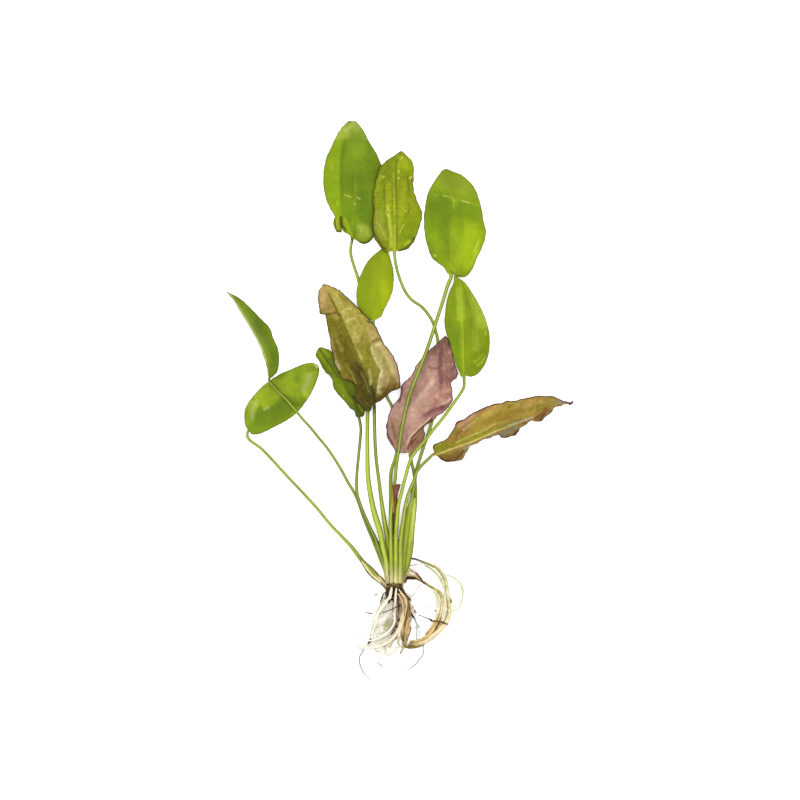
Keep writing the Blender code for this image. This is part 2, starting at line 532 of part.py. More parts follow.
def roots():
    white = material("root_white", (0.80, 0.75, 0.60), 0.5)
    tan = material("root_tan", (0.62, 0.47, 0.20), 0.5)
    brown = material("root_brown", (0.22, 0.14, 0.05), 0.6)
    olive = material("root_olive", (0.30, 0.24, 0.09), 0.6)
    grey = material("root_grey", (0.30, 0.32, 0.30), 0.6)

    root(
        "root_white_left",
        white,
        [
            (-5.4, -107.0, 5.3), (-6.0, -108.2, 4.8), (-7.5, -110.3, 3.8), (-9.7, -113.6, 2.6),
            (-11.8, -116.9, 1.8), (-13.2, -121.3, 1.3), (-14.8, -126.2, 0.9), (-16.2, -131.7, 0.6),
        ],
        [1.7, 1.6, 1.4, 1.0],
        12,
    )
    root(
        "root_white_outer",
        white,
        [
            (-7.1, -106.6, 2.5), (-9.3, -108.9, 1.8), (-12.0, -113.6, 1.1), (-14.0, -118.0, 0.8),
            (-15.1, -122.9, 0.6), (-16.4, -126.8, 0.5),
        ],
        [1.0, 1.0, 0.8, 0.6],
        10,
    )
    root(
        "root_white_middle",
        white,
        [
            (-2.5, -106.9, 5.2), (-2.6, -108.8, 4.6), (-2.8, -113.0, 3.6), (-3.0, -117.4, 2.8),
            (-3.5, -121.8, 2.2), (-6.0, -126.8, 1.7), (-10.1, -129.9, 1.3), (-14.3, -131.1, 1.0),
        ],
        [1.4, 1.4, 1.3, 1.0],
        13,
    )
    root(
        "root_cream_long",
        white,
        [
            (-0.3, -106.6, 4.6), (1.6, -108.5, 4.0), (2.1, -111.4, 3.5), (1.2, -116.3, 3.2), (0.1, -121.3, 3.0),
            (-1.3, -125.7, 2.8), (-3.8, -130.1, 2.4), (-7.9, -133.4, 1.9), (-13.1, -135.2, 1.4),
            (-20.6, -135.9, 0.9), (-23.9, -134.5, 0.7), (-25.3, -132.3, 0.6),
        ],
        [1.6, 1.5, 1.5, 1.3, 1.0],
        17,
    )
    root(
        "root_cream_inner",
        white,
        [
            (-1.6, -106.7, 2.4), (-0.5, -110.8, 1.8), (-0.6, -116.3, 1.4), (-1.6, -121.8, 1.0),
            (-4.1, -127.3, 0.8), (-6.8, -131.7, 0.6), (-11.2, -133.7, 0.6),
        ],
        [1.1, 1.1, 1.0, 0.8],
        11,
    )
    root(
        "root_dark_thin",
        brown,
        [(-1.1, -106.6, 3.5), (-1.0, -113.0, 4.0), (-1.3, -119.6, 4.0), (-2.9, -124.6, 3.6), (-5.1, -128.4, 3.0)],
        [0.5, 0.5],
        9,
    )
    root(
        "root_tan_outer",
        tan,
        [
            (1.9, -100.4, 0.8), (1.8, -96.0, 0.6), (2.2, -91.5, 0.6), (3.4, -88.0, 0.6), (5.1, -86.8, 0.6),
            (7.7, -87.0, 0.8), (10.8, -88.0, 1.0), (14.1, -89.3, 1.1), (18.2, -91.0, 1.3), (20.4, -92.1, 1.4),
            (22.6, -94.1, 1.5), (23.8, -95.9, 1.6), (25.1, -99.2, 1.6), (25.8, -104.2, 1.6), (26.4, -108.6, 1.5),
            (27.1, -114.1, 1.4), (26.7, -117.9, 1.3), (25.4, -121.6, 1.2), (22.9, -124.5, 1.2),
            (19.6, -127.6, 1.1), (16.6, -130.0, 1.1), (13.4, -132.0, 1.05), (9.2, -133.2, 1.0), (4.6, -133.4, 0.8),
        ],
        [0.6, 0.7, 0.9, 1.3, 1.8, 2.0, 2.0, 1.4],
        30,
    )
    root(
        "root_brown_inner",
        tan,
        [
            (2.1, -100.0, 3.2), (3.4, -97.8, 2.9), (5.3, -96.8, 2.6), (8.1, -97.1, 2.0), (10.8, -98.7, 1.7),
            (12.8, -99.8, 1.6), (16.3, -102.0, 1.5), (19.1, -103.7, 1.4), (21.6, -105.3, 1.3), (22.9, -108.6, 1.3),
            (22.9, -111.9, 1.2), (22.6, -114.9, 1.2), (22.0, -118.0, 1.2), (20.4, -122.2, 1.8),
            (17.8, -126.0, 2.5), (15.0, -129.2, 3.0), (11.4, -131.5, 3.0),
        ],
        [1.6, 1.6, 1.2, 1.5, 1.6, 1.6, 1.4],
        22,
    )
    root(
        "root_pale_loop",
        tan,
        [
            (25.4, -96.0, 0.8), (27.6, -96.5, 0.6), (31.4, -98.7, 0.5), (33.9, -102.0, 0.5), (34.5, -105.3, 0.5),
            (33.9, -109.7, 0.5), (32.8, -113.0, 0.5), (30.5, -115.6, 0.6), (28.7, -115.3, 0.8),
        ],
        [0.6, 0.6],
        14,
        sides_step=0,
    )
    root(
        "root_olive",
        olive,
        [
            (1.0, -105.6, 2.4), (3.1, -107.5, 2.2), (4.9, -110.0, 1.8), (6.0, -112.2, 1.5), (7.2, -114.6, 1.2),
            (9.0, -116.8, 1.0),
        ],
        [1.2, 0.9, 0.7],
        9,
    )
    root(
        "root_grey_thread",
        grey,
        [
            (4.7, -113.0, 2.2), (6.2, -116.9, 1.6), (7.8, -119.6, 1.2), (9.0, -122.9, 0.9), (9.0, -127.3, 0.6),
            (9.0, -131.6, 0.6),
        ],
        [0.6, 0.8, 0.8],
        10,
        sides_step=0,
    )
    root(
        "root_twig",
        brown,
        [
            (9.9, -117.6, 1.4), (13.4, -119.0, 2.1), (16.3, -120.1, 2.9), (17.2, -120.7, 3.1), (20.4, -121.2, 3.3),
            (22.9, -121.6, 3.2), (26.8, -123.2, 2.8),
        ],
        [0.5, 0.6, 0.8, 0.6, 0.5],
        11,
        sides_step=0,
    )
    root(
        "root_fibre_upper",
        brown,
        [
            (2.1, -99.0, 4.7), (3.2, -95.4, 4.4), (4.6, -93.4, 3.9), (7.7, -94.3, 3.2), (10.6, -96.5, 3.2),
            (12.5, -99.2, 3.1),
        ],
        [0.8, 0.8, 0.7],
        10,
        sides_step=0,
    )
    root(
        "root_hair_left",
        grey,
        [
            (-20.4, -136.9, 0.6), (-21.0, -138.8, 0.4), (-22.2, -140.4, 0.3), (-22.6, -142.4, 0.3),
            (-21.9, -145.9, 0.3), (-20.1, -149.7, 0.3), (-16.0, -153.8, 0.3),
        ],
        [0.5, 0.5],
        10,
        sides_step=0,
    )
    root(
        "root_hair_right",
        grey,
        [
            (12.6, -133.7, 0.6), (12.9, -136.8, 0.4), (12.5, -139.6, 0.3), (10.5, -142.4, 0.3), (7.7, -145.6, 0.3),
            (2.9, -148.6, 0.3),
        ],
        [0.5, 0.5],
        9,
        sides_step=0,
    )
    root(
        "rootlet_dark",
        brown,
        [(0.6, -112.2, 4.9), (-3.8, -114.1, 4.9), (-7.0, -115.6, 4.3), (-9.7, -116.6, 3.4)],
        [0.6, 0.5],
        6,
        sides_step=0,
    )


def main():
    clear_scene()
    leaves()
    crown(material("crown", (0.10, 0.06, 0.02), 0.6))
    dry_leaf_strip(material("dry_leaf", (0.35, 0.20, 0.08), 0.6))
    roots()


main()
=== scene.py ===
# %% [markdown]
# # A bare-root sword plant, from its solids to its looks
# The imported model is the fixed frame: every leaf and root there is a plain solid in its true place. This
# lesson gives each of them a finished skin of the same form. Lengths in the lists are millimetres, with X
# to the right, Y from the roots to the leaf tips and Z up from the table.

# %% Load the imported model
import math

import bmesh
import bpy
import numpy as np
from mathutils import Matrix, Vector, geometry, noise


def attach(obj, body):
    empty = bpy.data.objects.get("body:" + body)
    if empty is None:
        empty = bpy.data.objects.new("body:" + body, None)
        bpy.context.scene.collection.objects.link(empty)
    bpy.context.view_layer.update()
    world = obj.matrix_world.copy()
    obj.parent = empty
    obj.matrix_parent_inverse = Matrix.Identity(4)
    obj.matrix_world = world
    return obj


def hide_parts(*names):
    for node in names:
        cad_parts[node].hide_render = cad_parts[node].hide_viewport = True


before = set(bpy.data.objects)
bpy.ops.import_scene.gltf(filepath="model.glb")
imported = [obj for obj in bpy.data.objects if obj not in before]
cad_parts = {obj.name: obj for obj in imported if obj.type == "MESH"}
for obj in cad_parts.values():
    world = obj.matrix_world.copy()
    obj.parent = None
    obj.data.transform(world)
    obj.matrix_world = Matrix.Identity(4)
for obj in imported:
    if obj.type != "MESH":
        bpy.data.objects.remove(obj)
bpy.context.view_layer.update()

# %% [markdown]
# ## Camera
# The photograph looks straight down on the plant. A long lens from high up keeps leaves that lie a few
# millimetres higher from growing in the picture. A wide lens from close by would also frame the plant,
# but it would push the raised leaves outwards.

# %% The camera above the table
FRAME_WIDTH = 0.44
LENS = 200
SENSOR = 36
MIDDLE = (-0.000165, 0.00033)

camera_data = bpy.data.cameras.new("camera")
camera_data.lens = LENS
camera_data.sensor_width = SENSOR
camera = bpy.data.objects.new("camera", camera_data)
camera.location = (*MIDDLE, FRAME_WIDTH * LENS / SENSOR)
bpy.context.scene.collection.objects.link(camera)
bpy.context.scene.camera = camera
print("camera height:", round(camera.location.z, 3), "m")

# %% [markdown]
# ## Table and light
# The plant lies on a white light table in very soft light, so it has hardly any shadow. A bright even sky
# and the table's own faint glow do most of that. One large lamp overhead and one at the left give the wet
# leaves their soft highlights. A single small lamp would be simpler, but its shadows would be hard.

# %% The white table
SMALL = 0.0001


def new_object(name, mesh):
    made = bpy.data.objects.new(name, mesh)
    bpy.context.scene.collection.objects.link(made)
    return made


table_sheet = bmesh.new()
bmesh.ops.create_grid(table_sheet, x_segments=1, y_segments=1, size=3)
bmesh.ops.translate(table_sheet, verts=table_sheet.verts, vec=(0, 0, -SMALL))
table_mesh = bpy.data.meshes.new("table")
table_sheet.to_mesh(table_mesh)
table_sheet.free()
table = new_object("table", table_mesh)
white = bpy.data.materials.new("white_table")
white.use_nodes = True
white.node_tree.nodes["Principled BSDF"].inputs["Base Color"].default_value = (0.92, 0.92, 0.92, 1)
white.node_tree.nodes["Principled BSDF"].inputs["Roughness"].default_value = 0.9
white.node_tree.nodes["Principled BSDF"].inputs["Emission Color"].default_value = (1, 1, 1, 1)
white.node_tree.nodes["Principled BSDF"].inputs["Emission Strength"].default_value = 0.35
white.node_tree.nodes["Principled BSDF"].inputs["Specular IOR Level"].default_value = 0
table.data.materials.append(white)
print("table:", len(table.data.polygons), "face")


# %% Sky and lamps
def lamp(name, size, power, place):
    """A square lamp that shines at the middle of the table."""
    data = bpy.data.lights.new(name, "AREA")
    data.size = size
    data.energy = power
    made = bpy.data.objects.new(name, data)
    made.location = place
    made.rotation_euler = (-Vector(place)).to_track_quat("-Z", "Y").to_euler()
    bpy.context.scene.collection.objects.link(made)
    return made


sky = bpy.data.worlds.new("soft_sky")
sky.use_nodes = True
sky.node_tree.nodes["Background"].inputs["Color"].default_value = (1, 1, 1, 1)
sky.node_tree.nodes["Background"].inputs["Strength"].default_value = 1.5
bpy.context.scene.world = sky
bpy.context.scene.view_settings.view_transform = "Standard"
lamp("lamp_overhead", 1.0, 10, (0.25, 0.9, 2.1))
lamp("lamp_left", 0.35, 6, (-1.1, 0.7, 1.0))

# %% [markdown]
# ## Smooth lines from a few points
# A leaf's edge, a rib and a root are each given by a few points. A smooth curve through them is walked at
# even steps. The solids were made from the same points, so the finished skins lie just where the solids
# do.

# %% Even steps along a smooth curve
KNOT_STEPS = 24
MM = 0.001
UP = np.array((0.0, 0.0, 1.0))


def unit(vectors):
    return vectors / np.maximum(np.linalg.norm(vectors, axis=-1, keepdims=True), 1e-9)


def smooth_line(points, count):
    """count points at even steps along the smooth curve through the given ones."""
    knots = [Vector(point) for point in points]
    fine = [knots[0]]
    for i in range(len(knots) - 1):
        start, end = knots[i], knots[i + 1]
        before, after = knots[max(i - 1, 0)], knots[min(i + 2, len(knots) - 1)]
        span = (end - start).length / 3
        leave, arrive = (end - before).normalized() * span, (after - start).normalized() * span
        fine += geometry.interpolate_bezier(start, start + leave, end - arrive, end, KNOT_STEPS)[1:]
    fine = np.array(fine)
    walked = np.concatenate([[0], np.cumsum(np.linalg.norm(np.diff(fine, axis=0), axis=1))])
    steps = np.linspace(0, walked[-1], count)
    return np.stack([np.interp(steps, walked, fine[:, k]) for k in range(3)], axis=1)


def between(values, shares):
    """The values at these shares of the way along an evenly spaced list."""
    values = np.array(values, float)
    places = np.asarray(shares, float) * (len(values) - 1)
    if values.ndim == 1:
        return np.interp(places, range(len(values)), values)
    return np.stack([np.interp(places, range(len(values)), column) for column in values.T], axis=-1)


def ease(values, low=0.0, high=1.0):
    """0 below low, 1 above high, and a smooth step between them."""
    share = np.clip((values - low) / (high - low), 0, 1)
    return share * share * (3 - 2 * share)


print("walked:", smooth_line([(0, 0, 0), (5, 1, 0), (10, 0, 0)], 5).round(1).tolist())

# %% [markdown]
# ## One closed skin round a row of rings
# Stalks, blades and roots are all skins round a line. A grid is made with one column for each point of a
# ring and one row for each ring. Its points move to their places, its two long sides are welded into a
# seam, and each end closes in a point. Extruding ring by ring gives the same skin, but a grid keeps its
# points in order, so a value such as the distance to the leaf's edge is easy to store with each of them.

# %% The skin, with the values that its material reads
COLOUR_LAYER = "tint"
WELD = 1e-7


def closed_skin(sheet, rings, values, tints):
    """Adds a closed skin round rings of points in millimetres. values names a number for each point."""
    count, ring = rings.shape[:2]
    first, last = rings[0], rings[-1]
    ends = [np.repeat(row.mean(axis=0, keepdims=True), ring, axis=0)[None] for row in (first, last)]
    places = np.concatenate([ends[0], rings, ends[1]])
    rows = np.concatenate([[0], np.arange(count), [count - 1]])
    bmesh.ops.create_grid(sheet, x_segments=ring, y_segments=count + 1, size=1)
    layers = {}
    for name in values:
        layers[name] = sheet.verts.layers.float.get(name) or sheet.verts.layers.float.new(name)
    paints = sheet.verts.layers.float_color
    paint = paints.get(COLOUR_LAYER) or paints.new(COLOUR_LAYER)
    made = list(sheet.verts)[-(ring + 1) * (count + 2):]
    for i, vertex in enumerate(made):
        row, column = divmod(i, ring + 1)
        column %= ring
        vertex.co = places[row, column] * MM
        for name, layer in layers.items():
            vertex[layer] = values[name][rows[row], column]
        vertex[paint] = (*tints[rows[row], column], 1)


def finished_piece(sheet, name, material, nodes):
    """Welds the skins and turns them into one piece that stands for its solid and rides with the plant."""
    bmesh.ops.remove_doubles(sheet, verts=sheet.verts[:], dist=WELD)
    bmesh.ops.dissolve_degenerate(sheet, dist=WELD, edges=sheet.edges[:])
    bmesh.ops.recalc_face_normals(sheet, faces=sheet.faces[:])
    mesh = bpy.data.meshes.new(name)
    sheet.to_mesh(mesh)
    sheet.free()
    mesh.shade_smooth()
    mesh.materials.append(material)
    piece = new_object(name, mesh)
    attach(piece, "root")
    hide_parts(*nodes)
    print(name, "faces:", len(mesh.polygons))
    return piece

# %% [markdown]
# ## Building blocks for the materials
# A shader is a net of small nodes. Three short helpers place them: one sets a node and joins what feeds
# it, one does a sum and one mixes two colours. The editor does the same by hand, but in code a value has
# a name.

# %% Helpers that place nodes
def place(tree, kind, inputs=None, **settings):
    made = tree.nodes.new(kind)
    for name, value in settings.items():
        setattr(made, name, value)
    for name, value in (inputs or {}).items():
        if isinstance(value, bpy.types.NodeSocket):
            tree.links.new(value, made.inputs[name])
        else:
            made.inputs[name].default_value = value
    return made


def figure(tree, operation, *values):
    return place(tree, "ShaderNodeMath", dict(enumerate(values)), operation=operation).outputs[0]


def mixed(tree, share, first, second, way="MIX"):
    sockets = {0: share, 6: first, 7: second}
    return place(tree, "ShaderNodeMix", sockets, data_type="RGBA", blend_type=way).outputs[2]


def fade(tree, value, low, high, start=1.0, end=0.0):
    """start below low, end above high, and a smooth step between."""
    sockets = {0: value, 1: low, 2: high, 3: start, 4: end}
    return place(tree, "ShaderNodeMapRange", sockets, interpolation_type="SMOOTHSTEP").outputs[0]


def stored(tree, name):
    """A value that the piece's mesh holds for each point."""
    return place(tree, "ShaderNodeAttribute", attribute_type="GEOMETRY", attribute_name=name)


def group(name, inputs, outputs):
    """An empty node group with named sockets. inputs and outputs pair each name with its kind and value."""
    tree = bpy.data.node_groups.new(name, "ShaderNodeTree")
    for label, (kind, value) in inputs.items():
        made = tree.interface.new_socket(label, in_out="INPUT", socket_type=kind)
        if value is not None:
            made.default_value = value
    for label, kind in outputs.items():
        tree.interface.new_socket(label, in_out="OUTPUT", socket_type=kind)
    start, end = tree.nodes.new("NodeGroupInput"), tree.nodes.new("NodeGroupOutput")
    return tree, start.outputs, end.inputs


def colour(code):
    """A colour written as #rrggbb, as the linear numbers that shaders use."""
    parts = [int(code[i:i + 2], 16) / 255 for i in (1, 3, 5)]
    return tuple(part / 12.92 if part <= 0.04045 else ((part + 0.055) / 1.055) ** 2.4 for part in parts)


NUMBER, PLACE = "NodeSocketFloat", "NodeSocketVector"
print("leaf green:", [round(part, 3) for part in colour("#7A9A2A")])

# %% [markdown]
# ## The veins of a blade
# A sword plant's blade has a midrib, a few long veins that leave its base and meet again at its tip, and
# many fine cross veins between them, with a net of tiny cells in between. The blade's own coordinates
# make this easy: "across" is 0 on the midrib and 1 on the edge, and "along" is 0 at the base and 1 at the
# tip. A long vein is then a line of one "across" value. An image could hold veins too, but it would blur
# close up.

# %% The vein group
veins, given, result = group(
    "leaf_veins",
    {
        "Across": (NUMBER, 0.0),
        "Along": (NUMBER, 0.0),
        "Position": (PLACE, None),
        "Vein Spacing": (NUMBER, 0.3),
        "Cross Veins": (NUMBER, 26.0),
        "Cells": (NUMBER, 1300.0),
    },
    {"Long Veins": NUMBER, "Cross": NUMBER, "Net": NUMBER},
)
wander = place(veins, "ShaderNodeTexNoise", {"Vector": given["Position"], "Scale": 90.0, "Detail": 2.0})
drift = figure(veins, "MULTIPLY_ADD", wander.outputs["Fac"], 0.06, -0.03)
side_share = figure(veins, "ADD", figure(veins, "ABSOLUTE", given["Across"]), drift)
half_spacing = figure(veins, "MULTIPLY", given["Vein Spacing"], 0.5)
to_vein = figure(veins, "PINGPONG", side_share, half_spacing)
veins.links.new(fade(veins, to_vein, 0.0, 0.03), result["Long Veins"])
rise = figure(veins, "MULTIPLY", given["Along"], given["Cross Veins"])
slant = figure(veins, "MULTIPLY_ADD", side_share, -4.0, rise)
bent = figure(veins, "MULTIPLY_ADD", wander.outputs["Fac"], 1.6, slant)
veins.links.new(fade(veins, figure(veins, "PINGPONG", bent, 0.5), 0.0, 0.14), result["Cross"])
cells = place(
    veins,
    "ShaderNodeTexVoronoi",
    {"Vector": given["Position"], "Scale": given["Cells"]},
    feature="DISTANCE_TO_EDGE",
)
veins.links.new(fade(veins, cells.outputs["Distance"], 0.02, 0.16), result["Net"])
print("vein group nodes:", len(veins.nodes))

# %% [markdown]
# ## Patches and specks
# No leaf has one even colour. Two small groups serve every plant material: soft cloudy patches, and round
# specks such as the brown dots on an old leaf. A painted list of dots would need hundreds of entries,
# where a cell pattern gives them at once.

# %% The cloud group and the speck group
clouds, given, result = group(
    "cloudy_patches",
    {"Position": (PLACE, None), "Scale": (NUMBER, 60.0), "Contrast": (NUMBER, 2.0)},
    {"Patches": NUMBER, "Grain": NUMBER},
)
cloudy = {"Vector": given["Position"], "Scale": given["Scale"], "Detail": 3.0}
broad = place(clouds, "ShaderNodeTexNoise", cloudy)
centred = figure(clouds, "SUBTRACT", broad.outputs["Fac"], 0.5)
spread = figure(clouds, "MULTIPLY_ADD", centred, given["Contrast"], 0.5)
clouds.links.new(place(clouds, "ShaderNodeClamp", {0: spread}).outputs[0], result["Patches"])
fine_scale = figure(clouds, "MULTIPLY", given["Scale"], 9.0)
grainy = {"Vector": given["Position"], "Scale": fine_scale, "Detail": 4.0}
grain = place(clouds, "ShaderNodeTexNoise", grainy)
clouds.links.new(grain.outputs["Fac"], result["Grain"])

specks, given, result = group(
    "round_specks",
    {"Position": (PLACE, None), "Scale": (NUMBER, 560.0), "Size": (NUMBER, 0.2), "Share": (NUMBER, 0.55)},
    {"Specks": NUMBER},
)
dots = place(
    specks,
    "ShaderNodeTexVoronoi",
    {"Vector": given["Position"], "Scale": given["Scale"]},
    voronoi_dimensions="2D",
)
inner = figure(specks, "MULTIPLY", given["Size"], 0.6)
round_dots = fade(specks, dots.outputs["Distance"], inner, given["Size"])
lot = place(specks, "ShaderNodeSeparateColor", {0: dots.outputs["Color"]}).outputs[0]
chosen = figure(specks, "LESS_THAN", lot, given["Share"])
specks.links.new(figure(specks, "MULTIPLY", round_dots, chosen), result["Specks"])
print("groups:", [tree.name for tree in bpy.data.node_groups])

# %% [markdown]
# ## What all plant materials share
# Every finish on the plant starts with a painted colour that the mesh holds for each point, the way a
# painter lays down broad washes. Three steps are the same for a leaf and a root: the start of a material,
# an uneven tone over the paint, and the last links for colour, gloss and height. Copying a finished
# material for each piece would also work, but then one change would have to be made thirty times.

# %% Start, unevenness and end of a plant material
BUMP_DEPTH = 0.00012


def plant_material(name, shine):
    """A new material, its tree, its shader and the place of each point on the piece."""
    made = bpy.data.materials.new(name)
    made.use_nodes = True
    shader = made.node_tree.nodes["Principled BSDF"]
    shader.inputs["Specular IOR Level"].default_value = shine
    where = place(made.node_tree, "ShaderNodeTexCoord").outputs["Object"]
    return made, made.node_tree, shader, where


def uneven(tree, skin, pattern, low, high, darkest, lightest):
    """The skin, darker and lighter where a pattern is low and high."""
    tone = fade(tree, pattern, low, high, darkest, lightest)
    grey = place(tree, "ShaderNodeCombineColor", {0: tone, 1: tone, 2: tone}).outputs[0]
    return mixed(tree, 1.0, skin, grey, "MULTIPLY")


def join_surface(tree, shader, skin, grain, rough, height, strength):
    """Joins the finished colour, an uneven gloss and the raised pattern to the shader."""
    tree.links.new(skin, shader.inputs["Base Color"])
    gloss = fade(tree, grain, 0.3, 0.7, rough - 0.06, rough + 0.1)
    tree.links.new(gloss, shader.inputs["Roughness"])
    raised = {"Strength": strength, "Distance": BUMP_DEPTH, "Height": height}
    tree.links.new(place(tree, "ShaderNodeBump", raised).outputs[0], shader.inputs["Normal"])


print("raised patterns are", BUMP_DEPTH * 1000, "mm high")

# %% [markdown]
# ## Leaf material
# On top of the painted colour a leaf has what is too fine to paint: veins, cells, cloudy patches, a thin
# dark edge, and specks. The same pattern raises the surface a little, so the gloss breaks up over the
# veins.

# %% A material for one leaf
LEAF_SHINE = 0.09
CELL_SHADE = (0.62, 0.62, 0.5, 1)
CROSS_VEIN_SHARE = 0.2


def leaf_material(name, vein, vein_share, net_share, rim, rough, rim_share=0.8, rim_width=0.6, spot=None,
                  spot_share=0.0, patch=0.16, mottle_and_crease_shade=0.035, coat=0.0):
    """vein, rim and spot are colours, and a share says how strongly each of them shows."""
    made, tree, shader, where = plant_material(name, LEAF_SHINE)
    along = stored(tree, "along").outputs["Fac"]
    on_blade = fade(tree, along, 0.0, 0.04, 0.0, 1.0)
    lines = {"Across": stored(tree, "across").outputs["Fac"], "Along": along, "Position": where}
    pattern = place(tree, "ShaderNodeGroup", lines, node_tree=veins).outputs
    cloud = place(tree, "ShaderNodeGroup", {"Position": where}, node_tree=clouds).outputs

    def masked(mask, share):
        return figure(tree, "MULTIPLY", mask, figure(tree, "MULTIPLY", on_blade, share))

    skin = stored(tree, COLOUR_LAYER).outputs["Color"]
    skin = uneven(tree, skin, cloud["Patches"], 0.1, 0.9, 1 - patch, 1 + patch)
    skin = uneven(tree, skin, cloud["Grain"], 0.34, 0.66, 1 - mottle_and_crease_shade, 1 + mottle_and_crease_shade)
    darker = mixed(tree, 1.0, skin, CELL_SHADE, "MULTIPLY")
    skin = mixed(tree, masked(pattern["Net"], net_share), skin, darker)
    cross = masked(pattern["Cross"], vein_share * CROSS_VEIN_SHARE)
    long_ones = masked(pattern["Long Veins"], vein_share)
    skin = mixed(tree, figure(tree, "MAXIMUM", cross, long_ones), skin, (*colour(vein), 1))
    edge = fade(tree, stored(tree, "rim").outputs["Fac"], 0.25 * rim_width, rim_width, rim_share, 0.0)
    skin = mixed(tree, figure(tree, "MULTIPLY", edge, on_blade), skin, (*colour(rim), 1))
    if spot_share:
        dots = place(tree, "ShaderNodeGroup", {"Position": where}, node_tree=specks).outputs["Specks"]
        chosen_part = figure(tree, "MULTIPLY", stored(tree, "spotted").outputs["Fac"], spot_share)
        skin = mixed(tree, figure(tree, "MULTIPLY", dots, chosen_part), skin, (*colour(spot), 1))
    height = cloud["Grain"]
    for kind, depth in (("Long Veins", -0.6), ("Cross", -0.25), ("Net", -0.35)):
        height = figure(tree, "MULTIPLY_ADD", pattern[kind], depth, height)
    join_surface(tree, shader, skin, cloud["Grain"], rough, height, 0.5)
    shader.inputs["Coat Weight"].default_value = coat
    shader.inputs["Coat Roughness"].default_value = 0.12
    return made


print("shine of a leaf:", LEAF_SHINE)

# %% [markdown]
# ## Shape of a leaf
# A leaf grew as one piece, so its stalk and blade are one skin. The rings are round on the stalk and
# turn into thin flat sections on the blade, from the left edge over the rib to the right edge and back
# underneath. Blade and stalk could be two pieces pushed into each other, but the join would show from
# the side.

# %% Places round a stalk and across a blade
HALF = 32
RING = 4 * HALF
RIB_STEPS = 4
STALK_FLATNESS = 0.95
CLEAR = 0.04
LEAF_ANGLES = math.pi * (1 - 2 * np.arange(RING) / RING)


def half_places(reach, near):
    """Where the points between rib and edge lie, in millimetres: close together on the rib, then even."""
    steps = np.arange(HALF + 1)
    even = reach[:, None] * steps / HALF
    outer = near[:, None] + (reach - near)[:, None] * (steps - RIB_STEPS) / (HALF - RIB_STEPS)
    packed = np.where(steps <= RIB_STEPS, near[:, None] * steps / RIB_STEPS, outer)
    wide = np.clip((reach - near) / near, 0, 1)[:, None]
    return even * (1 - wide) + packed * wide


def softened(rows):
    """Evens out a list of directions along the leaf."""
    for _ in range(6):
        padded = np.concatenate([rows[:1], rows, rows[-1:]])
        rows = unit(padded[:-2] + 2 * padded[1:-1] + padded[2:])
    return rows


def circle(centre, across, lift, radius, angles, ridges=0.03):
    """Rings of a slightly ridged stalk."""
    out = radius[:, None] * (1 + ridges * np.cos(5 * angles)[None])
    side = across[:, None] * (np.cos(angles)[None] * out)[..., None]
    return centre[:, None] + side + lift[:, None] * (np.sin(angles)[None] * out * STALK_FLATNESS)[..., None]


print("points in a ring:", RING)

# %% [markdown]
# ## Worn edges and creases
# The edge of a real blade wavers, and snails or knocks leave bites in it. Its surface has fine creases
# like those of thin paper. Noise gives both, because it is random and yet smooth from point to point.
# Two measures of distance say how near a point is to a fold or a painted stroke.

# %% Edges, creases and distances
FINE_WAVER, FINEST_WAVER = 22, 61


def edge_wear(edge, rib, spots, frill, seed):
    """Moves an edge in or out: a small random frill, and bites where a spot says so."""
    out = unit(edge - rib)
    walked = np.arange(len(edge)) / len(edge)
    fade_in = ease(walked, 0.03, 0.12) * (1 - ease(walked, 0.93, 0.99))
    fine = [noise.noise(Vector((share * FINE_WAVER, seed, 0))) for share in walked]
    finest = [0.5 * noise.noise(Vector((share * FINEST_WAVER, seed, 3))) for share in walked]
    shift = (np.array(fine) + finest) * frill * fade_in
    for x, y, width, depth in spots:
        distance = np.hypot(edge[:, 0] - x, edge[:, 1] - y)
        shift -= depth * np.exp(-(distance / width) ** 2)
    return edge + out * shift[:, None]


def crumpled(grid, size, seed=0.0):
    """Creases like those of thin crushed paper: 0 in a crease and up to about 1 between creases."""
    heights = []
    for x, y, _ in grid.reshape(-1, 3) / size:
        broad_crease = abs(noise.noise(Vector((x, y, seed)))) * 1.6
        fine_crease = abs(noise.noise(Vector((x * 2.3, y * 2.3, seed + 4))))
        heights.append(broad_crease + 0.5 * fine_crease)
    return np.array(heights).reshape(grid.shape[:-1])


def line_distance(grid, line):
    """How far each point lies from a line of straight parts, seen from above."""
    best = np.full(grid.shape[:-1], 1e9)
    line = np.array(line, float)
    for start, end in zip(line, line[1:]):
        run = end - start
        share = np.clip(((grid[..., :2] - start) @ run) / (run @ run), 0, 1)
        best = np.minimum(best, np.linalg.norm(grid[..., :2] - start - share[..., None] * run, axis=-1))
    return best


def side_distance(grid, line):
    """The same distance, but below zero at the right hand of someone who walks along the line."""
    line = np.array(line, float)
    best, hand = np.full(grid.shape[:-1], 1e9), np.ones(grid.shape[:-1])
    for start, end in zip(line, line[1:]):
        run, gap = end - start, grid[..., :2] - start
        share = np.clip((gap @ run) / (run @ run), 0, 1)
        distance = np.linalg.norm(gap - share[..., None] * run, axis=-1)
        nearer = distance < best
        hand = np.where(nearer, np.sign(run[0] * gap[..., 1] - run[1] * gap[..., 0]), hand)
        best = np.where(nearer, distance, best)
    return best * hand


print("distance to a line:", line_distance(np.array([[1.0, 2.0, 0.0]]), [(0, 0), (2, 0)]))

# %% [markdown]
# ## Painted colours
# Each point of a leaf gets a colour, as on a painted model: a broad wash for each side of the blade, others
# for its base, tip and rib, and then single strokes. Some strokes are marks of the real leaf, and others
# are painted highlights and painted shade beside folds. Washes on one side of a line mostly paint the light
# and the shade of a fold or crinkle, and a net of fine creases is painted darker. A round stalk gets
# painted shade at its sides and a painted highlight along its crest. A picture laid over the leaf would be
# quicker, but it would be flat and blurred close up.

# %% The paint of a leaf
# The colour and share of the painted highlight along a stalk's crest, and where on the ring it lies.
CREST_HIGHLIGHT, CREST_SHARE = (0.36, 0.42, 0.15), 0.36
CREST_TURN, CREST_WIDTH = 1.75, 0.42
CROWN_Y = -100.3
STREAKS = 0.45


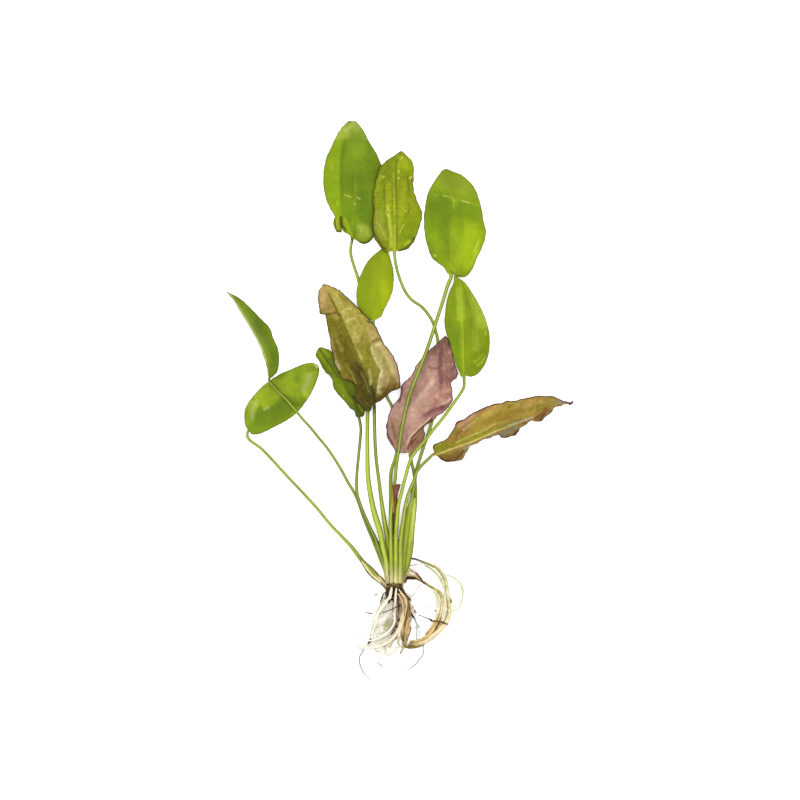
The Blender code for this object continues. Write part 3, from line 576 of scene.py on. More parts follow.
def washed(paint, code, weight):
    """The paint with a colour washed over it, as strongly as the weight of each point says."""
    return paint + (np.array(colour(code)) - paint) * weight[..., None]


def stroked(paint, rings, strokes):
    """The paint with soft strokes over it: real marks, painted highlights and painted shade. Each has a
    colour, a strength, a width and a line.
    """
    for code, strength, width, line in strokes:
        away = line_distance(rings, line)
        paint = washed(paint, code, strength * (1 - ease(away, 0.35 * width, 1.25 * width)))
    return paint


def stalk_paint(rings, along, look):
    """The stalk's colours from its foot up, its pale foot, painted side shade and crest highlight, its
    streaks.
    """
    paint = between([colour(code) for code in look["stalk"]], np.clip(along + 1, 0, 1))
    foot, foot_reach = look.get("foot", ("#C6BA7C", 12.0))
    paint = washed(paint, foot, 1 - ease(rings[..., 1] - CROWN_Y, -1.0, foot_reach))
    turns = 2 * math.pi * np.arange(RING) / RING
    # Painted shade: the round stalk is darker towards its sides.
    sides = np.abs(np.cos(turns)) ** 3
    paint = paint * (1 - look.get("side_shade", 0.62) * sides)[None, :, None]
    # Painted highlight: a pale line along the stalk's crest.
    crest = np.exp(-(((turns - CREST_TURN) / CREST_WIDTH) ** 2))[:, None]
    paint = paint + (np.array(CREST_HIGHLIGHT) - paint) * (look.get("crest", CREST_SHARE) * crest)
    circle_places = [(math.cos(turn) * 3.2, math.sin(turn) * 3.2) for turn in turns]
    streaks = [[noise.noise(Vector((x, y, step * 1.5))) for x, y in circle_places] for step in along[:, 0]]
    return paint * (1 + STREAKS * np.array(streaks))[..., None]


def leaf_paint(rings, values, look):
    """The painted colour of each point: stalk, blade washes, painted light and shade of folds, then
    strokes.
    """
    along, across = values["along"], values["across"]
    blade = washed(np.array(colour(look["left"])), look["right"], ease(across, -0.25, 0.25))
    base, base_reach = look["base"]
    blade = washed(blade, base, 1 - ease(along, 0, base_reach))
    tip, tip_start = look["tip"]
    blade = washed(blade, tip, ease(along, tip_start, 1))
    rib_share = np.exp(-((np.abs(across) * 9) ** 2)) * look["rib_share"]
    blade = washed(blade, look["rib"], rib_share * (1 - ease(along, 0.5, 0.98)))
    stalk = stalk_paint(rings, along, look)
    tint = stalk + (blade - stalk) * ease(along, -0.004, 0.03)[..., None]
    # Each facet wash lies on one side of its line and fades away from it: mostly painted light and painted
    # shade on the two sides of a fold or crinkle, in places the blade's own paler or darker part.
    for code, strength, reach, line in look.get("facets", []):
        away = side_distance(rings, line)
        tint = washed(tint, code, strength * ease(away, -0.3, 0.3) * (1 - ease(away, 0.4 * reach, reach)))
    # The stroke list holds marks of the real leaf, painted highlights and painted shade.
    tint = stroked(tint, rings, look.get("strokes", []))
    # Painted crease shade: the paint is darker along a net of fine creases and lighter between them.
    amount, size = look.get("mottle_and_crease_shade", (0.07, 4.5))
    creases = crumpled(rings, size, 3.0) - 0.5
    return tint * (1 + amount * ease(along, 0.0, 0.05) * creases)[..., None]


print("crest of a stalk:", CREST_HIGHLIGHT)

# %% [markdown]
# ## From stalk to blade
# The stalk's rings follow its line and turn with the blade at their end. The blade's two halves bulge a
# little, pucker between the veins, ripple along the edge and fold where the real leaf is folded. The
# first rings of the blade are still round and go over into the flat ones.

# %% Rings of a stalk and a blade
STALK_ROWS = 90
BLADE_ROWS = 200
THIN = 0.17
BULGE = 0.05
RIB_ABOVE, RIB_BELOW = 0.25, 0.7


def stalk_part(plan, look, blade_up):
    """The rings of the stalk, which turns until its upper side is that of the blade."""
    centres = smooth_line([*plan["stalk"], plan["rib"][0]], STALK_ROWS)
    share = np.linspace(0, 1, STALK_ROWS)
    walk = unit(np.gradient(centres, axis=0))
    turn = ease(share, 0.75, 1.0)[:, None]
    side = unit(np.cross(walk, UP))
    lift = unit(np.cross(side, walk) * (1 - turn) + blade_up * turn)
    side = unit(np.cross(walk, lift))
    radius = between(plan["widths"], share) / 2
    flare, flare_reach = look.get("flare", (1.0, 0.2))
    radius *= 1 + (flare - 1) * (1 - ease(share, 0.0, flare_reach))
    return circle(centres, side, lift, radius, LEAF_ANGLES)


def blade_half(sign, edge, up, ribs, middle_up, thick, look):
    """The upper and lower points between rib and edge, their shares of the way and their gap to the rim."""
    share = np.linspace(0, 1, len(ribs))
    reach = np.linalg.norm(edge - ribs, axis=1) + 1e-6
    places = half_places(reach, thick * 1.5)
    shares = places / reach[:, None]
    surface = ribs[:, None] + (edge - ribs)[:, None] * shares[..., None]
    bulge = reach[:, None] * BULGE * 4 * shares * (1 - shares)
    waves = np.abs(np.sin(math.pi * shares / look["spacing"]))
    pucker = waves * look["pucker"] * np.clip(reach / 8, 0, 1)[:, None]
    turns = share[:, None] * look.get("waves", 14) - shares * 0.9
    ripple = look["ripple"] * shares * np.sin(2 * math.pi * turns + sign)
    fold = np.zeros(shares.shape)
    for line, width, depth in look.get("folds", []):
        fold += depth * np.exp(-(line_distance(surface, line) / width) ** 2)
    if "crumple" in look:
        crumple, crumple_size = look["crumple"]
        fold += crumple * crumpled(surface, crumple_size)
    height = bulge + (pucker + ripple + fold) * ease(share, 0.0, 0.12)[:, None]
    ridge = np.exp(-(places / (thick[:, None] * 0.9)) ** 2) * thick[:, None]
    body = THIN * np.sqrt(np.clip(1 - shares ** 6, 0, 1))
    direction = unit(middle_up[:, None] * (1 - shares[..., None]) + up[:, None] * shares[..., None])
    top = surface + direction * (height + body + ridge * RIB_ABOVE)[..., None]
    under = surface + direction * (height - body - ridge * RIB_BELOW)[..., None]
    return top, under, shares, reach[:, None] * (1 - shares)


def blade_part(plan, look):
    """The rings of the blade, their places across it, their gaps to the rim, and the way up at its base."""
    rows = look.get("rows", BLADE_ROWS)
    base, tip = plan["rib"][0], plan["rib"][-1]
    ribs = smooth_line(plan["rib"], rows + 1)
    edges = [smooth_line([base, *plan[side], tip], rows + 1) for side in ("left", "right")]
    bites, frill = look.get("bites", []), look.get("frill", 0.25)
    lefts, rights = (edge_wear(edge, ribs, bites, frill, seed) for edge, seed in zip(edges, (1.7, 8.3)))
    ahead = softened(unit(np.gradient(ribs, axis=0)))
    left_up = softened(unit(np.cross(ribs - lefts + 1e-6, ahead)))
    right_up = softened(unit(np.cross(rights - ribs + 1e-6, ahead)))
    middle_up = softened(unit(left_up + right_up))
    share = np.linspace(0, 1, rows + 1)
    end_radius = plan["widths"][-1] / 2
    thick = end_radius * (1 - share) ** 0.8 + 0.2 * share
    flat = np.zeros((rows + 1, RING, 3))
    across, rim = np.zeros((rows + 1, RING)), np.zeros((rows + 1, RING))
    for sign, edge, up in ((-1, lefts, left_up), (1, rights, right_up)):
        top, under, shares, gap = blade_half(sign, edge, up, ribs, middle_up, thick, look)
        above = HALF + sign * np.arange(HALF + 1)
        below = (3 * HALF - sign * np.arange(HALF)) % RING
        for columns, half_points in ((above, top), (below, under)):
            count = len(columns)
            flat[:, columns] = half_points[:, :count]
            across[:, columns] = sign * shares[:, :count]
            rim[:, columns] = gap[:, :count]
    side = unit(np.cross(ahead, middle_up))
    full = circle(ribs, side, middle_up, np.full(rows + 1, end_radius), LEAF_ANGLES)
    flatness = ease(share, 0.0, look.get("flatten", 0.05))[:, None, None]
    return full * (1 - flatness) + flat * flatness, across, rim, middle_up[2]


print("rows on a stalk and a blade:", STALK_ROWS, BLADE_ROWS)

# %% [markdown]
# ## One leaf
# The rings of the stalk and the blade are joined to one list, and every point learns where it is: along
# the leaf, across it, and how far from the rim. The material and the paint both read these values.

# %% A leaf as one piece
FAR_FROM_RIM = 9.0


def leaf_skin(sheet, plan, look):
    """Adds one leaf to the sheet. plan holds its lines, and look its small forms and its colours."""
    blade_rings, across, rim, blade_up = blade_part(plan, look)
    rings = np.concatenate([stalk_part(plan, look, blade_up)[:-1], blade_rings[:-1]])
    rings[..., 2] = np.maximum(rings[..., 2], CLEAR)
    on_stalk = (STALK_ROWS - 1, RING)
    stalk_share = np.linspace(-1, 0, STALK_ROWS)[:-1, None] * np.ones(RING)
    blade_share = np.linspace(0, 1, len(blade_rings))[:-1, None] * np.ones(RING)
    values = {
        "across": np.concatenate([np.zeros(on_stalk), across[:-1]]),
        "along": np.concatenate([stalk_share, blade_share]),
        "rim": np.concatenate([np.full(on_stalk, FAR_FROM_RIM), rim[:-1]]),
    }
    tints = leaf_paint(rings, values, look)
    if "spotted" in look:
        spots = np.zeros(rings.shape[:2])
        for line, width in look["spotted"]:
            spots = np.maximum(spots, 1 - ease(line_distance(rings, line), 0.6 * width, width))
        values["spotted"] = spots
    closed_skin(sheet, rings, values, tints)


def leaf_piece(name, plan, look, material, node):
    sheet = bmesh.new()
    leaf_skin(sheet, plan, look)
    return finished_piece(sheet, name, material, [node])


print("values of a leaf's points: across, along, rim and", COLOUR_LAYER)

# %% [markdown]
# ## Root material
# A root is a smooth skin with small swellings, faint rings across it and specks of dirt. White roots are
# young and clean, and the tan and dark ones are old. One function gives all of them, with values for each
# kind.

# %% A material for roots
ROOT_SHINE = 0.12
RING_SHADE = (0.6, 0.5, 0.38, 1)


def root_material(name, dirt, dirt_share, rough, patch, ring=0.25):
    made, tree, shader, where = plant_material(name, ROOT_SHINE)
    cloud = place(tree, "ShaderNodeGroup", {"Position": where, "Scale": 320}, node_tree=clouds).outputs
    dots = place(tree, "ShaderNodeGroup", {"Position": where, "Scale": 800}, node_tree=specks).outputs
    skin = stored(tree, COLOUR_LAYER).outputs["Color"]
    skin = uneven(tree, skin, cloud["Patches"], 0.1, 0.9, 1 - patch, 1 + patch * 0.6)
    distance = stored(tree, "walked").outputs["Fac"]
    walked = figure(tree, "MULTIPLY_ADD", cloud["Patches"], 0.8, distance)
    rings = fade(tree, figure(tree, "PINGPONG", walked, 0.35), 0.0, 0.3)
    browner = mixed(tree, 1.0, skin, RING_SHADE, "MULTIPLY")
    skin = mixed(tree, figure(tree, "MULTIPLY", rings, ring), skin, browner)
    dirty = figure(tree, "MULTIPLY", dots["Specks"], dirt_share)
    skin = mixed(tree, dirty, skin, (*colour(dirt), 1))
    height = figure(tree, "MULTIPLY_ADD", rings, -0.4, cloud["Grain"])
    join_surface(tree, shader, skin, cloud["Grain"], rough, height, 0.6)
    return made


white_root = root_material("white_root", "#9A8A66", 0.3, rough=0.42, patch=0.08, ring=0.12)
tan_root = root_material("tan_root", "#6E4E26", 0.5, rough=0.5, patch=0.2)
pale_root = root_material("pale_root", "#A9A886", 0.3, rough=0.45, patch=0.1)
dark_root = root_material("dark_root", "#1E1810", 0.5, rough=0.6, patch=0.3)
grey_root = root_material("grey_root", "#5A6064", 0.3, rough=0.5, patch=0.15)
fibre_root = root_material("fibre_root", "#4E3418", 0.4, rough=0.6, patch=0.3)
print("root materials:", [item.name for item in bpy.data.materials if item.name.endswith("_root")])

# %% [markdown]
# ## Shape of a root
# Each strand is a skin of round rings along its line, a little thicker and thinner by turns, with a
# rounded tip. Side roots and fine hairs are strands of the same piece as the root that they grow on. A
# bevelled curve would be quicker, but it can't swell by chance and has no value for the distance walked.

# %% One strand
SIDES = 14
STEP = 0.45
LUMPS = 0.18
WANDER = 0.12


def strand(sheet, route, diameters, colours, seed, side_shade=0.0):
    """Adds one strand. Its diameters and colours are spread evenly along its route."""
    length = np.linalg.norm(np.diff(np.array(route, float), axis=0), axis=1).sum()
    count = max(8, int(length / STEP))
    line = smooth_line(route, count)
    share = np.linspace(0, 1, count)
    walked = share * length
    sway = np.array([[noise.noise(Vector((mm * 0.5, seed, k))) for k in (0, 9)] for mm in walked]) * WANDER
    line[:, :2] += sway * np.minimum(1, np.minimum(walked, length - walked) / 2)[:, None]
    ahead = unit(np.gradient(line, axis=0))
    side = unit(np.cross(ahead, UP))
    lift = np.cross(side, ahead)
    swell = np.array([1 + LUMPS * noise.noise(Vector((mm * 0.7, seed + 5, 0))) for mm in walked])
    radius = between(diameters, share) / 2 * swell
    radius = radius * np.sqrt(np.clip((length - walked) / (1.4 * radius) + 0.02, 0.05, 1))
    angles = 2 * math.pi * np.arange(SIDES) / SIDES
    rings = circle(line, side, lift, radius, angles, ridges=0.05)
    rings[..., 2] = np.maximum(rings[..., 2], CLEAR)
    tints = between([colour(code) for code in colours], share)[:, None] * np.ones((1, SIDES, 1))
    tints = tints * (1 - side_shade * np.abs(np.cos(angles)) ** 4)[None, :, None]
    closed_skin(sheet, rings, {"walked": walked[:, None] * np.ones(SIDES)}, tints)


def root_piece(name, material, node, side_shade, parts, sheet=None):
    """Adds every strand to the sheet, or to a new one, and makes them one piece."""
    sheet = sheet or bmesh.new()
    for i, (route, diameters, colours) in enumerate(parts):
        strand(sheet, route, diameters, colours, i * 3.1, side_shade)
    return finished_piece(sheet, name, material, [node])


print("sides of a strand:", SIDES)

# %% [markdown]
# ## Strips and sheaths
# Old leaf bases, the open sheath of the outermost stalk and the dry remains of a leaf are all strips:
# thin, hollowed and frayed. Each is a skin between a left and a right edge. A flat plane with a solid
# thickness would also give a strip, but not one that is hollow across and curls along its length.

# %% One strip
STRIP_STEPS = 12
FIBRE_HEIGHT = 0.12


def strip(sheet, left, right, hollow, thick, colours, rows, ragged, strokes=(), seed=0.0):
    """A thin strip from the first points of both edges to the last. colours run from left to right."""
    lefts, rights = smooth_line(left, rows), smooth_line(right, rows)
    shares = np.linspace(0, 1, STRIP_STEPS + 1)
    length = np.linspace(0, 1, rows)
    shift = np.array([[noise.noise(Vector((row * 9, seed, k))) for row in length] for k in (0, 5)]) * ragged
    out = unit(rights - lefts)
    lefts, rights = lefts - out * shift[0][:, None], rights + out * shift[1][:, None]
    width = np.linalg.norm(rights - lefts, axis=1)
    ahead = unit(np.gradient((lefts + rights) / 2, axis=0))
    up = softened(unit(np.cross(rights - lefts, ahead)))
    middle = lefts[:, None] + (rights - lefts)[:, None] * shares[:, None]
    arch = np.sin(math.pi * shares) * hollow * width[:, None]
    fibres = np.array([noise.noise(Vector((share * 9, seed, 7))) for share in shares]) * FIBRE_HEIGHT
    half = thick / 2 * np.sqrt(np.clip(1 - (2 * shares - 1) ** 6, 0, 1))
    top = middle + up[:, None] * (arch + fibres + half)[..., None]
    under = middle + up[:, None] * (arch + fibres - half)[..., None]
    rings = np.concatenate([top, under[:, STRIP_STEPS - 1:0:-1]], axis=1)
    rings[..., 2] = np.maximum(rings[..., 2], CLEAR)
    row = between([colour(code) for code in colours], shares)
    tints = np.concatenate([row, row[STRIP_STEPS - 1:0:-1]])[None] * np.ones((rows, 1, 1))
    tints = stroked(tints, rings, strokes)
    walked = length[:, None] * width.sum() / rows * np.ones(rings.shape[1])
    closed_skin(sheet, rings, {"walked": walked}, tints)


print("steps across a strip:", STRIP_STEPS)

# %% [markdown]
# ## Tables of points, marks and strands
# The lines of this plant were traced, and each leaf and root has its own. They are written as short
# tables: a point is two or three numbers with commas between them, in millimetres. A mark is a colour, a
# strength, a width and the points of its line. A strand is its points, its diameters and its colours with
# slashes between them, and a semicolon parts it from the next one.

# %% Readers for the tables
def points(text):
    return [tuple(float(number) for number in point.split(",")) for point in text.split()]


def marks(text):
    table = []
    for mark in text.split("#")[1:]:
        tone, strength, width, *line = mark.split()
        table.append(("#" + tone, float(strength), float(width), points(" ".join(line))))
    return table


def strands(text):
    table = []
    for entry in text.split(";"):
        route, diameters, colours = entry.split("/")
        table.append((points(route), [float(number) for number in diameters.split()], colours.split()))
    return table


def counted(table):
    """Prints how many entries each list of a table holds."""
    print({name: len(part) for name, part in table.items() if isinstance(part, list)})


print("one mark:", marks("#617710 0.8 6.6 -24.9,145.5 -23.3,137.8"))

# %% [markdown]
# ## The tall leaf at the left
# The tallest blade is blunt, and a long fold beside its midrib makes its left side catch more light; that
# side is painted paler. Its lower left corner is torn: a small brown flap hangs there. The flap is a skin
# of its own, because a hole cut in the blade would leave a raw edge.

# %% The tall leaf at the left
TALL_LEFT_LEAF = {
    "stalk": points("""
    -4.6,-100.3,1.4 -5.7,-87.7,1.35 -5.1,-71.2,1.2 -5.1,-54.7,1.1 -5.1,-39.3,1 -2.4,-29.9,1 -1.9,-18.9,1
    -3,-9.6,1 -5,-2.4,1 -7.3,2,1 -10.6,14.1,1 -13.9,27.8,1 -18.3,47.1,1 -23.1,66.3,1 -25.1,72.9,1
    -26.9,78.7,1.1 -27.4,82.8,1.2
    """),
    "widths": [1.7, 1.8, 1.6, 1.6, 1.6],
    "rib": points("-26.6,88,1.3 -24.9,107.5,1.5 -24.4,120.2,1.5 -25.8,137.8,1.2 -26.6,153.8,0.3"),
    "left": points("""
    -28.2,91.1,1.2 -31.3,93,1 -34.9,99.3,1.2 -37.6,103.7,1.8 -40.5,109.9,2.6 -42.4,120.4,3.2
    -41.2,131.8,2.8 -38.2,138.6,2 -33.5,148.5,0.8 -28.9,153.5,0.3
    """),
    "right": points("""
    -24.4,87.8,0.9 -19.8,86.1,0.6 -14.9,89.5,0.3 -11.2,98.2,0 -7.9,110.3,0 -7.9,122.4,0.2 -10.7,130.2,0.6
    -13.1,135.8,0.9 -17.2,142.7,0.8 -21.6,150.6,0.4 -24.4,153.5,0.3
    """),
}
counted(TALL_LEFT_LEAF)

# %% Looks of the tall leaf at the left
TALL_LEFT_LEAF_LOOK = {
    "stalk": ["#798612", "#798814", "#75860B", "#75860B", "#798910"],
    "left": "#5C7204",
    "right": "#576D04",
    "base": ("#5E7304", 0.2),
    "tip": ("#82922A", 0.9),
    "rib": "#708114",
    "rib_share": 0.5,
    "pucker": 0.1,
    "ripple": 0.08,
    "spacing": 0.36,
    "folds": [
        (points("-31.5,146.6 -33.2,132.3 -33.2,115.8 -32.1,103.7"), 1.5, 0.25),
    ],
    # The first wash is painted light on the side left of the fold, the second painted shade just right of
    # it.
    "facets": marks("""
    #6F8504 0.95 13.2 -29.9,90.5 -31.8,101.5 -33.2,115.8 -33.2,132.3 -30.7,145.5
    #526904 0.5 2.8 -31,144.4 -33.2,132.3 -33.2,115.8 -31.8,102.6
    #829131 0.75 11 -34.3,143.3 -30.4,144.1 -24.4,143.6
    #637904 0.5 4.4 -24.9,132.3 -24.7,115.8 -25.1,98.2
    """),
    "bites": [(-33.1, 148.5, 0.5, 0.9), (-31.5, 95.5, 1.0, 0.7)],
    "flare": (1.9, 0.4),
    "strokes": marks("""
    #617710 0.8 6.6 -24.9,145.5 -23.3,137.8
    #577008 0.8 5.5 -23.8,129 -22.2,122.4
    #4F6904 0.8 4.4 -21.1,112.5 -20,102.6
    #5C7404 0.9 4.4 -29.9,107.6 -28.8,102.6
    #6A8104 0.7 1.9 -39.5,129.6 -40,120.2 -37.6,110.3
    #7D8E18 0.6 1.2 -38.7,131.2 -37,126.8
    #788A04 0.95 1.4 -30.4,99.3 -28.5,94.4 -27.1,90.5
    #708020 0.95 3.3 -21.1,94.9 -17.8,92.7 -21.1,90.5
    #637408 0.8 1.3 -24.9,90.5 -22.2,88.6 -17.8,88.3
    #82902F 0.4 3.9 -31.5,146.6 -27.7,149.4 -24.6,149.9
    #919C40 0.7 1.5 -29.9,148.3 -26.6,151.6 -24.4,152.4
    #577004 0.45 0.9 -32.3,143.3 -32.5,126.8 -32.2,110.3
    #708314 0.7 0.5 -24.8,121.3 -24.8,115.8
    #687E04 0.8 0.5 -25,108.1 -25.7,99.3 -26,92.7
    #4A5704 0.5 0.4 -24.7,107 -25.2,98.2 -25.7,89.4
    #96A241 0.7 0.4 -31.1,113.1 -29.3,112.5
    #93A03A 0.8 0.4 -34.9,108.6 -34,107.6
    #313104 0.8 0.7 -28.2,90 -26,88.1 -22.2,87 -18.9,86.7 -16.1,88.3
    #262204 0.9 0.6 -28.2,153.6 -27.3,153.5
    #353104 0.9 0.6 -32.6,101 -31.8,96 -30.1,93.8
    #ABB163 0.8 0.4 -28.5,112.5 -27.3,111.8
    #9FA757 0.7 0.4 -23.9,112 -22.9,111 -21.9,110.8
    #99A251 0.6 0.4 -25.4,108.4 -24.7,107.7
    #979E51 0.6 0.5 -23.3,96 -21.1,94.4 -21.6,92.2
    #8A9346 0.6 0.6 -17.8,94.9 -18.9,91.6 -16.7,90.5
    #7A8828 0.35 3.3 -21.1,94.4 -18.3,92.7 -21.1,90.5
    #8A963C 0.35 2.2 -29.9,149.4 -26.6,151 -23.8,150.5
    """),
    "foot": ("#B1A779", 15.0),
}
counted(TALL_LEFT_LEAF_LOOK)

# %% Finish and piece of the tall leaf at the left
tall_left_leaf_finish = leaf_material(
    "tall_left_leaf_finish",
    vein="#708314", vein_share=0.13, net_share=0.3, rim="#333F04", rough=0.4,
)
sheet = bmesh.new()
leaf_skin(sheet, TALL_LEFT_LEAF, TALL_LEFT_LEAF_LOOK)
strip(
    sheet,
    points("-34.5,104.8,1.2 -35.4,101.5,1.5 -36.8,98.8,1.8 -36.5,95.7,1.7 -34.8,92.4,1"),
    points("-32.3,104.3,1.5 -32.7,101.5,2.2 -32.8,98.8,2.5 -32.4,95.5,2.2 -32.2,92.4,1.2"),
    0.2, 0.3, ["#575F08", "#70800B", "#828E20", "#657108", "#433F04"],
    rows=36, ragged=0.4,
    strokes=marks("""
    #403104 0.8 0.7 -35.4,93.3 -32.6,93
    #4D3F04 0.7 0.6 -36,99.3 -35.4,94.9
    """),
)
finished_piece(sheet, "tall_left_leaf", tall_left_leaf_finish, ["leaf_tall_left"])

# %% [markdown]
# ## The speckled leaf in the middle
# This old blade is puckered between its veins, its left edge is brown and wrinkled, and brown specks are
# scattered over it. The puckers are real waves in the skin and the specks come from the material.

# %% The speckled leaf in the middle
SPECKLED_MIDDLE_LEAF = {
    "stalk": points("""
    -0.3,-100.3,3.7 0.9,-87.7,3.7 2.6,-76.7,3.6 4.2,-65.7,3.4 5.9,-57.4,3.3 7,-49.2,3.3 8.9,-38.2,2.9
    10.9,-31.3,2 13.4,-23.6,1.2 16,-16.2,1 17.6,-10.4,1 20.2,3.1,1 21,21.2,1 20.6,32.8,1 19.6,37.7,1
    18,42.7,1 15.2,47.6,1.1 11.4,51.9,1.3 6.8,54.9,1.5 3.1,59.2,2 0.3,65.2,2.6 -1.8,72,3.2 -2.9,77.6,3.7
    """),
    "widths": [1.7, 1.9, 1.8, 1.7, 1.6],
    "rib": points("-3.3,81.3,4 -2.9,92.1,4.2 -2.5,104.2,4 -2.9,120.2,3.4 -2.1,131.2,2.2 0.6,137.4,0.9"),
    "left": points("""
    -9.4,82.5,3.6 -12.8,86.9,3.4 -15,90.5,2.6 -15.6,96.2,2.2 -14.4,103.4,3.2 -15.4,109.2,2.4
    -14.6,116.3,2.6 -12.5,123.5,3.4 -10.3,129,2.4 -5.3,133.5,1.6
    """),
    "right": points("""
    2.4,82.8,2.6 6,85.3,1.6 8.4,89.4,0.8 9.8,93.8,0.4 11.4,99.3,0.8 11.8,103.4,1.6 9.6,109.2,2.4
    7.4,115.5,1.6 7.2,122.4,0.6 7.5,127.3,0.9 6.4,131.2,1.4 3.1,135.3,1.2
    """),
}
counted(SPECKLED_MIDDLE_LEAF)

# %% Looks of the speckled leaf in the middle
SPECKLED_MIDDLE_LEAF_LOOK = {
    "stalk": ["#758011", "#6E790B", "#72810A", "#6E7E0A", "#68790A"],
    "left": "#667504",
    "right": "#6D7A04",
    "base": ("#707A08", 0.12),
    "tip": ("#6F7904", 0.85),
    "rib": "#7E8713",
    "rib_share": 0.5,
    "pucker": 0.36,
    "ripple": 0.12,
    "spacing": 0.4,
    "waves": 11,
    "frill": 0.5,
    "crumple": (0.22, 3.0),
    "flare": (1.9, 0.35),
    "folds": [
        (points("-8.7,125.7 -9.1,115.8 -8.7,108.1 -7.3,99.3"), 0.7, -0.25),
        (points("4,125.7 4.8,114.7 4.8,104.8 2,97.1"), 0.7, -0.25),
        (points("-2,131.2 -2.9,119.1 -2.1,108.1 -2,85"), 0.7, -0.3),
    ],
    "mottle_and_crease_shade": (0.16, 2.4),
    "facets": marks("""
    #7E8814 0.6 2.8 -4.2,82.8 -5.1,92.7 -6.4,102.6 -7.5,110.3
    #666E04 0.5 2.2 -9,125.7 -9.2,115.8 -8.4,105.9
    #768004 0.6 3.9 -1.6,132.3 -2.1,115.8 -1.7,84.5
    #677204 0.5 2.8 4.2,123.5 4.9,112.5 4.2,101.5
    """),
    "strokes": marks("""
    #7C8222 0.7 0.6 -10.6,101.5 -9,97.1 -10.1,92.7 -7.9,88.3
    #7E8421 0.65 0.5 -13.4,98.2 -11.2,96 -12.3,91.6
    #8E9620 0.95 1.2 -7.1,107 -6.1,99.3 -5.1,91.6 -4.8,85
    #5C6404 0.7 0.4 -8.2,105.9 -7.4,98.2 -6.2,89.4
    #4F4004 0.7 0.5 -12.8,114.2 -11.4,113.9
    #554404 0.7 0.4 -13.7,100.4 -12.3,99.6
    #4B3D04 0.7 0.5 -9.2,114.7 -8.7,112.5 -9,110.3
    #7E870D 0.7 1.7 -6.5,118.6 -5.7,107.6
    #6A7A04 0.95 4.4 5.9,100.4 5.3,93.8 2.6,88.3
    #7C850A 0.8 1.9 2.3,120.2 1.5,110.3 0.9,102.6
    #7E8A08 0.7 2.2 1.5,132.3 3.7,127.9
    #747D05 0.7 1.7 7,107 8.1,102.6
    #555C04 0.75 0.5 -1.7,132.3 -2.4,128.5 -2.5,119.1 -2,108.7 -1.8,101 -1.7,84.5
    #8B931C 0.9 0.5 -3.6,124.6 -3.4,112.5 -3.1,102.6
    #929827 0.95 0.7 -3.1,96 -3.1,82.8
    #575F04 0.6 0.5 -8.3,123.5 -9.2,116.9 -8.9,111.4 -8.4,105.9 -7.6,101.5
    #5A6104 0.55 0.5 3.9,123.5 4.6,115.3 5,105.4 3.7,101
    #4B4F04 0.7 0.7 -14.2,112.5 -14.7,103.7 -15.2,96 -13.9,89.4
    #6D7916 0.8 1.7 -13.4,99.9 -13,94.9
    #423904 0.85 0.8 -14.9,107.6 -15.3,102.6 -15,93.3 -12.3,88.3 -9.4,83.7
    #3E3D04 0.85 1 -10.6,84.2 -8.4,83.4
    #333304 0.8 0.7 -0.7,82.3 2.6,83.4 5.3,85.6 7.5,89.4
    #A7AC3E 0.95 0.4 0.6,134 0.6,132.6
    #A7AC3E 0.9 0.4 -0.8,126.4 -0.9,125.3
    #A2A838 0.9 0.5 -1.4,122 -0.5,122.4
    #AAAE44 0.9 0.5 5,122.1 6.1,123.1
    #9DA336 0.9 0.6 -9.7,122.7 -9,122.9
    #989F32 0.9 0.4 2.4,104.1 3.2,103.8
    #99A033 0.8 0.5 -7.9,103.7 -6.8,101.3
    #939B28 0.85 1 2.9,85.9 5.1,87.6
    #989F30 0.9 0.4 -0.4,92.2 0.7,94.4 1.7,96.6
    #8A9121 0.8 0.4 -11.9,94.4 -10.7,91.4
    #212004 0.95 0.6 -0.9,136.2 0.6,137.7
    #3E2904 0.9 0.7 -0.2,-94.8 0.3,-102
    #7A8223 0.75 2.8 -11.9,102.6 -11.4,96 -9.5,90.5
    #939A32 0.7 0.5 -13,98.2 -10.8,96 -11.9,92.7
    #8E952F 0.6 0.5 -10.6,94.4 -8.7,91.1 -7.9,88.3
    #989D33 0.7 0.8 -6.4,103.7 -5.7,98.2 -4.9,90.5
    #848D24 0.4 0.8 -10.9,123.5 -12,119.1 -12.3,114.7
    #808A17 0.5 1.7 1.7,119.1 1.4,110.3
    #7E8815 0.5 1.3 5.3,110.3 6.7,107
    """),
    "spotted": [
        (points("-10.6,126.8 -13,115.8 -13.6,102.1 -12.8,92.7"), 3.3),
        ([(-5.7, 122.4), (-5.7, 102.6)], 2.2),
        ([(3.1, 122.4), (3.7, 115.8)], 1.4),
    ],
    "foot": ("#A1945C", 13.0),
}
counted(SPECKLED_MIDDLE_LEAF_LOOK)

# %% Finish and piece of the speckled leaf in the middle
speckled_middle_leaf_finish = leaf_material(
    "speckled_middle_leaf_finish",
    vein="#7E8715", vein_share=0.12, net_share=0.35, rim="#3E3604", rough=0.42, spot="#412F04",
    spot_share=0.95, patch=0.12, mottle_and_crease_shade=0.07, rim_width=0.8,
)
leaf_piece("speckled_middle_leaf", SPECKLED_MIDDLE_LEAF, SPECKLED_MIDDLE_LEAF_LOOK,
           speckled_middle_leaf_finish, "leaf_speckled_middle")

# %% [markdown]
# ## The broad leaf at the right
# A knock has left a pale crease across this blade. It is a low ridge along a bent line, painted paler.

